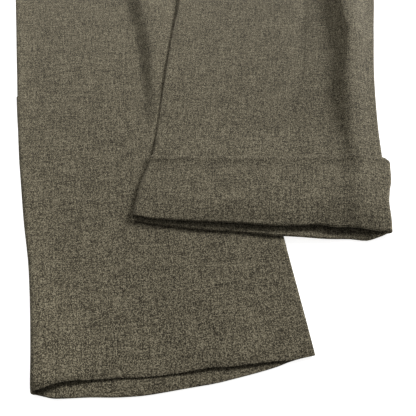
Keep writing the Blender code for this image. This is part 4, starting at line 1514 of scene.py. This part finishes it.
def build_button():
    """A four-hole button with a raised rim, on the waistband's end tab."""
    work = bmesh.new()
    verts = []
    for point in BUTTON_PROFILE:
        radius = max(BUTTON_RADIUS - point.inward * MM, 0.0)
        verts.append(work.verts.new((radius, 0.0, point.height * BUTTON_THICKNESS)))
    edges = [work.edges.new(pair) for pair in zip(verts, verts[1:])]
    bmesh.ops.spin(work, geom=verts + edges, cent=(0, 0, 0), axis=(0, 0, 1), angle=math.tau,
                   steps=BUTTON_SPACES, use_merge=True, use_duplicate=False)
    bmesh.ops.remove_doubles(work, verts=work.verts, dist=0.00002)
    bmesh.ops.translate(work, verts=work.verts, vec=button_spot())
    button = work_object("waist_button_horn", work, HORN, "horn")
    drill(button, button_holes())
    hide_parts("waist_button")


# --- Sewing -----------------------------------------------------------------------------------------
STITCH_RINGS = table(
    "place size",  # along the stitch, and share of its radius
    (0.0, 0.25),
    (0.12, 0.75),
    (0.35, 1.0),
    (0.65, 1.0),
    (0.88, 0.75),
    (1.0, 0.25),
)
STITCH_SIDES = 6
STITCH = 0.0024
STITCH_GAP = 0.0009
STITCH_RADIUS = 0.00022
TACK_LENGTH = 0.0065
TACK_WIDTH = 0.0016
TACK_STITCHES = 9
TACK_RADIUS = 0.00026
LOOP_TACK_LENGTH = 0.0078
LOOP_TACK_INSET = 0.0035
SEWING_STEP = 0.003
FLY_STITCH_INSET = 0.0035
FLY_STITCH_LIFT = SEAM_GAP + 0.0006
POCKET_STITCH_SPAN = (0.884, 1.043)
POCKET_STITCH_INSET = 0.0055
POCKET_STITCH_LIFT = SEAM_GAP + 0.0004
POCKET_TACK_INSET = 0.0022
BUTTON_THREAD_RADIUS = 0.0003
BUTTON_THREAD_SAG = 0.0006
BUTTONHOLE_LENGTH = 0.019
BUTTONHOLE_WIDTH = 0.0026
BUTTONHOLE_SHIFT = 0.0062  # its middle lies this far in from the button's
BUTTONHOLE_STITCHES = 46
BUTTONHOLE_RADIUS = 0.00024


def add_stitch(work, start, end, radius, sag):
    """One stitch as a slim rounded bar; sag lowers its ends into the cloth."""
    along = end - start
    side = along.cross(Vector((0, 0, 1))).normalized()
    up = side.cross(along).normalized()
    rings = []
    for place, size in STITCH_RINGS:
        middle = start + along * place - Vector((0, 0, sag * (2 * place - 1) ** 4))
        ring = []
        for k in range(STITCH_SIDES):
            angle = math.tau * k / STITCH_SIDES
            offset = (side * math.cos(angle) + up * math.sin(angle)) * radius * size
            ring.append(work.verts.new(middle + offset))
        rings.append(ring)
    for low, high in zip(rings, rings[1:]):
        for k in range(STITCH_SIDES):
            after = (k + 1) % STITCH_SIDES
            work.faces.new((low[k], low[after], high[after], high[k]))
    work.faces.new(rings[0][::-1])
    work.faces.new(rings[-1])


def point_along(points, distance):
    """The point this far along a line of points, and beyond its last point none."""
    for before, after in zip(points, points[1:]):
        length = (after - before).length
        if distance <= length:
            return before.lerp(after, distance / length)
        distance -= length
    return None


def stitch_line(name, points):
    """Stitches of one length along a line of points."""
    work = bmesh.new()
    cursor = 0.0
    while point_along(points, cursor + STITCH) is not None:
        start, end = point_along(points, cursor), point_along(points, cursor + STITCH)
        add_stitch(work, start, end, STITCH_RADIUS, STITCH_RADIUS)
        cursor += STITCH + STITCH_GAP
    return work_object(name, work, THREAD, "wool")


def bar_tack(name, middle, along, across, length=TACK_LENGTH):
    """A dense little bar of stitches."""
    work = bmesh.new()
    for i in range(TACK_STITCHES):
        place = middle + along * length * (i / (TACK_STITCHES - 1) - 0.5)
        reach = across * TACK_WIDTH / 2
        add_stitch(work, place - reach, place + reach, TACK_RADIUS, HAIR)
    return work_object(name, work, THREAD, "wool")


def surface_point(half, station, distance, lift):
    row = half.row(station)
    return half.place(row, distance, half.top(row, distance) + lift)


def sew_fly():
    """The fly's stitching, with a tack where it meets the centre."""
    line = []
    for station in stepped(FLY_START + 0.006, WAIST_STATION - 0.002, SEWING_STEP):
        distance = LEFT.row(station).width - fly_reach(station) + FLY_STITCH_INSET
        line.append(surface_point(LEFT, station, distance, FLY_STITCH_LIFT))
    foot = FLY_START + SEWING_STEP
    centre = surface_point(LEFT, foot, LEFT.row(foot).width - 0.001, FLY_STITCH_LIFT + 0.0003)
    bend = [centre.lerp(line[0], i / 4) for i in range(4)]
    stitch_line("fly_stitching", bend + line)
    bar_tack("fly_tack", centre + Vector((0.003, 0.002, 0.0002)), Vector((0, 1, 0)),
             Vector((1, 0, 0)))


def sew_pockets():
    """Stitching along both pocket mouths, with a tack at each end."""
    for side, half, inward in (("right", RIGHT, 1), ("left", LEFT, -1)):
        line = []
        for station in stepped(*POCKET_STITCH_SPAN, POCKET_STEP):
            distance = POCKET_MOUTH(station / MM) * MM + POCKET_STITCH_INSET
            line.append(surface_point(half, station, distance, POCKET_STITCH_LIFT))
        stitch_line("pocket_stitching_" + side, line)
        for place, end in (("low", 3), ("high", -2)):
            along = (line[end] - line[end - 1]).normalized()
            across = Vector((-along.y, along.x, 0)).normalized()
            middle = line[end] + across * POCKET_TACK_INSET * inward + Vector((0, 0, 0.0003))
            bar_tack("pocket_tack_%s_%s" % (place, side), middle, across, along)


def sew_belt_loops():
    """A tack across both ends of every belt loop."""
    for number, loop in enumerate(LOOPS, start=1):
        lift = 0.00025 if loop.below else LOOP_THICKNESS + HAIR
        for place, station in (
            ("low", LOOP_BOTTOM + LOOP_TACK_INSET),
            ("high", LOOP_TOP - LOOP_TACK_INSET),
        ):
            bar_tack("loop_tack_%s_%d" % (place, number), loop_point(loop, station, 0.0, lift),
                     Vector((1, 0, 0)), Vector((0, 1, 0)), length=LOOP_TACK_LENGTH)


def sew_button():
    """The button's own thread, and the stitched hole under it, longer towards the tab's end."""
    work = bmesh.new()
    rise = Vector((0, 0, BUTTON_THICKNESS * BUTTON_FACE + HAIR))
    holes = [hole + rise for hole in button_holes()]
    for start, end in ((holes[0], holes[2]), (holes[1], holes[3])):
        for aside in (-0.0003, 0.0003):
            shift = Vector((aside, 0, 0))
            add_stitch(work, start + shift, end + shift, BUTTON_THREAD_RADIUS, BUTTON_THREAD_SAG)
    middle = button_spot() + Vector((-BUTTONHOLE_SHIFT, 0.0, -SEAM_GAP + HAIR))
    for i in range(BUTTONHOLE_STITCHES):
        angle = math.tau * i / BUTTONHOLE_STITCHES
        along, aside = math.cos(angle), math.sin(angle)
        x = BUTTONHOLE_LENGTH / 2 * math.copysign(abs(along) ** 0.55, along)
        y = BUTTONHOLE_WIDTH / 2 * math.copysign(abs(aside) ** 0.4, aside)
        inner = middle + Vector((x * 0.93, y * 0.25, 0.0))
        add_stitch(work, inner, middle + Vector((x, y, 0.0)), BUTTONHOLE_RADIUS, HAIR)
    work_object("button_thread", work, THREAD, "wool")


# --- Floor, light and camera ------------------------------------------------------------------------
FLOOR_SIZE = 6.0
FLOOR_DROP = 0.0004
FLOOR_GREY = 0.90
CAMERA_TARGET = Vector((0.027, 0.168 - LENGTH / 2, 0.0))  # on the table, between the hems
CAMERA_DISTANCE = 0.5163
CAMERA_ELEVATION = math.radians(57)
CAMERA_LENS = 50.0
WORLD_STRENGTH = 0.22
LAMPS = table(
    "name x y z size power",  # round area lights, in metres and watts
    ("raking_light", 11.55, 9.70, 6.30, 4.2, 4870.0),
    ("high_light", -0.5, 0.45, 0.75, 0.5, 6.5),
)


def build_stage():
    material, nodes, shader = new_material("studio_floor")
    shader.inputs["Base Color"].default_value = (FLOOR_GREY, FLOOR_GREY, FLOOR_GREY, 1.0)
    shader.inputs["Roughness"].default_value = 0.9
    shader.inputs["Specular IOR Level"].default_value = 0.1
    shader.inputs["Emission Color"].default_value = (1.0, 1.0, 1.0, 1.0)
    shader.inputs["Emission Strength"].default_value = 0.8
    work = bmesh.new()
    bmesh.ops.create_grid(work, x_segments=8, y_segments=8, size=FLOOR_SIZE)
    mesh = bpy.data.meshes.new("floor")
    work.to_mesh(mesh)
    work.free()
    mesh.materials.append(material)
    floor = bpy.data.objects.new("floor", mesh)
    floor.location.z = -FLOOR_DROP
    bpy.context.scene.collection.objects.link(floor)


def add_aimed(name, data, location):
    """A lamp or camera that looks at the middle of the frame."""
    thing = bpy.data.objects.new(name, data)
    thing.location = location
    thing.rotation_mode = "QUATERNION"
    thing.rotation_quaternion = (CAMERA_TARGET - thing.location).to_track_quat("-Z", "Y")
    bpy.context.scene.collection.objects.link(thing)
    return thing


def build_light():
    world = bpy.data.worlds.new("studio")
    world.use_nodes = True
    background = world.node_tree.nodes["Background"]
    background.inputs["Color"].default_value = (1.0, 1.0, 1.0, 1.0)
    background.inputs["Strength"].default_value = WORLD_STRENGTH
    bpy.context.scene.world = world
    for lamp in LAMPS:
        light = bpy.data.lights.new(lamp.name, "AREA")
        light.shape = "DISK"
        light.size = lamp.size
        light.energy = lamp.power
        add_aimed(lamp.name, light, Vector((lamp.x, lamp.y, lamp.z)))


def build_camera():
    data = bpy.data.cameras.new("camera")
    data.lens = CAMERA_LENS
    data.sensor_width = 36.0
    data.clip_start = 0.01
    back = Vector((0.0, -math.cos(CAMERA_ELEVATION), math.sin(CAMERA_ELEVATION)))
    camera = add_aimed("camera", data, CAMERA_TARGET + back * CAMERA_DISTANCE)
    bpy.context.scene.camera = camera
    bpy.context.scene.view_settings.view_transform = "Standard"


build_legs()
build_side_allowances()
build_turn_up()
build_waistbands()
build_fly()
build_centre_allowance()
build_pocket_edges()
build_belt_loops()
build_button()
sew_fly()
sew_pockets()
sew_belt_loops()
sew_button()
build_stage()
build_light()
build_camera()
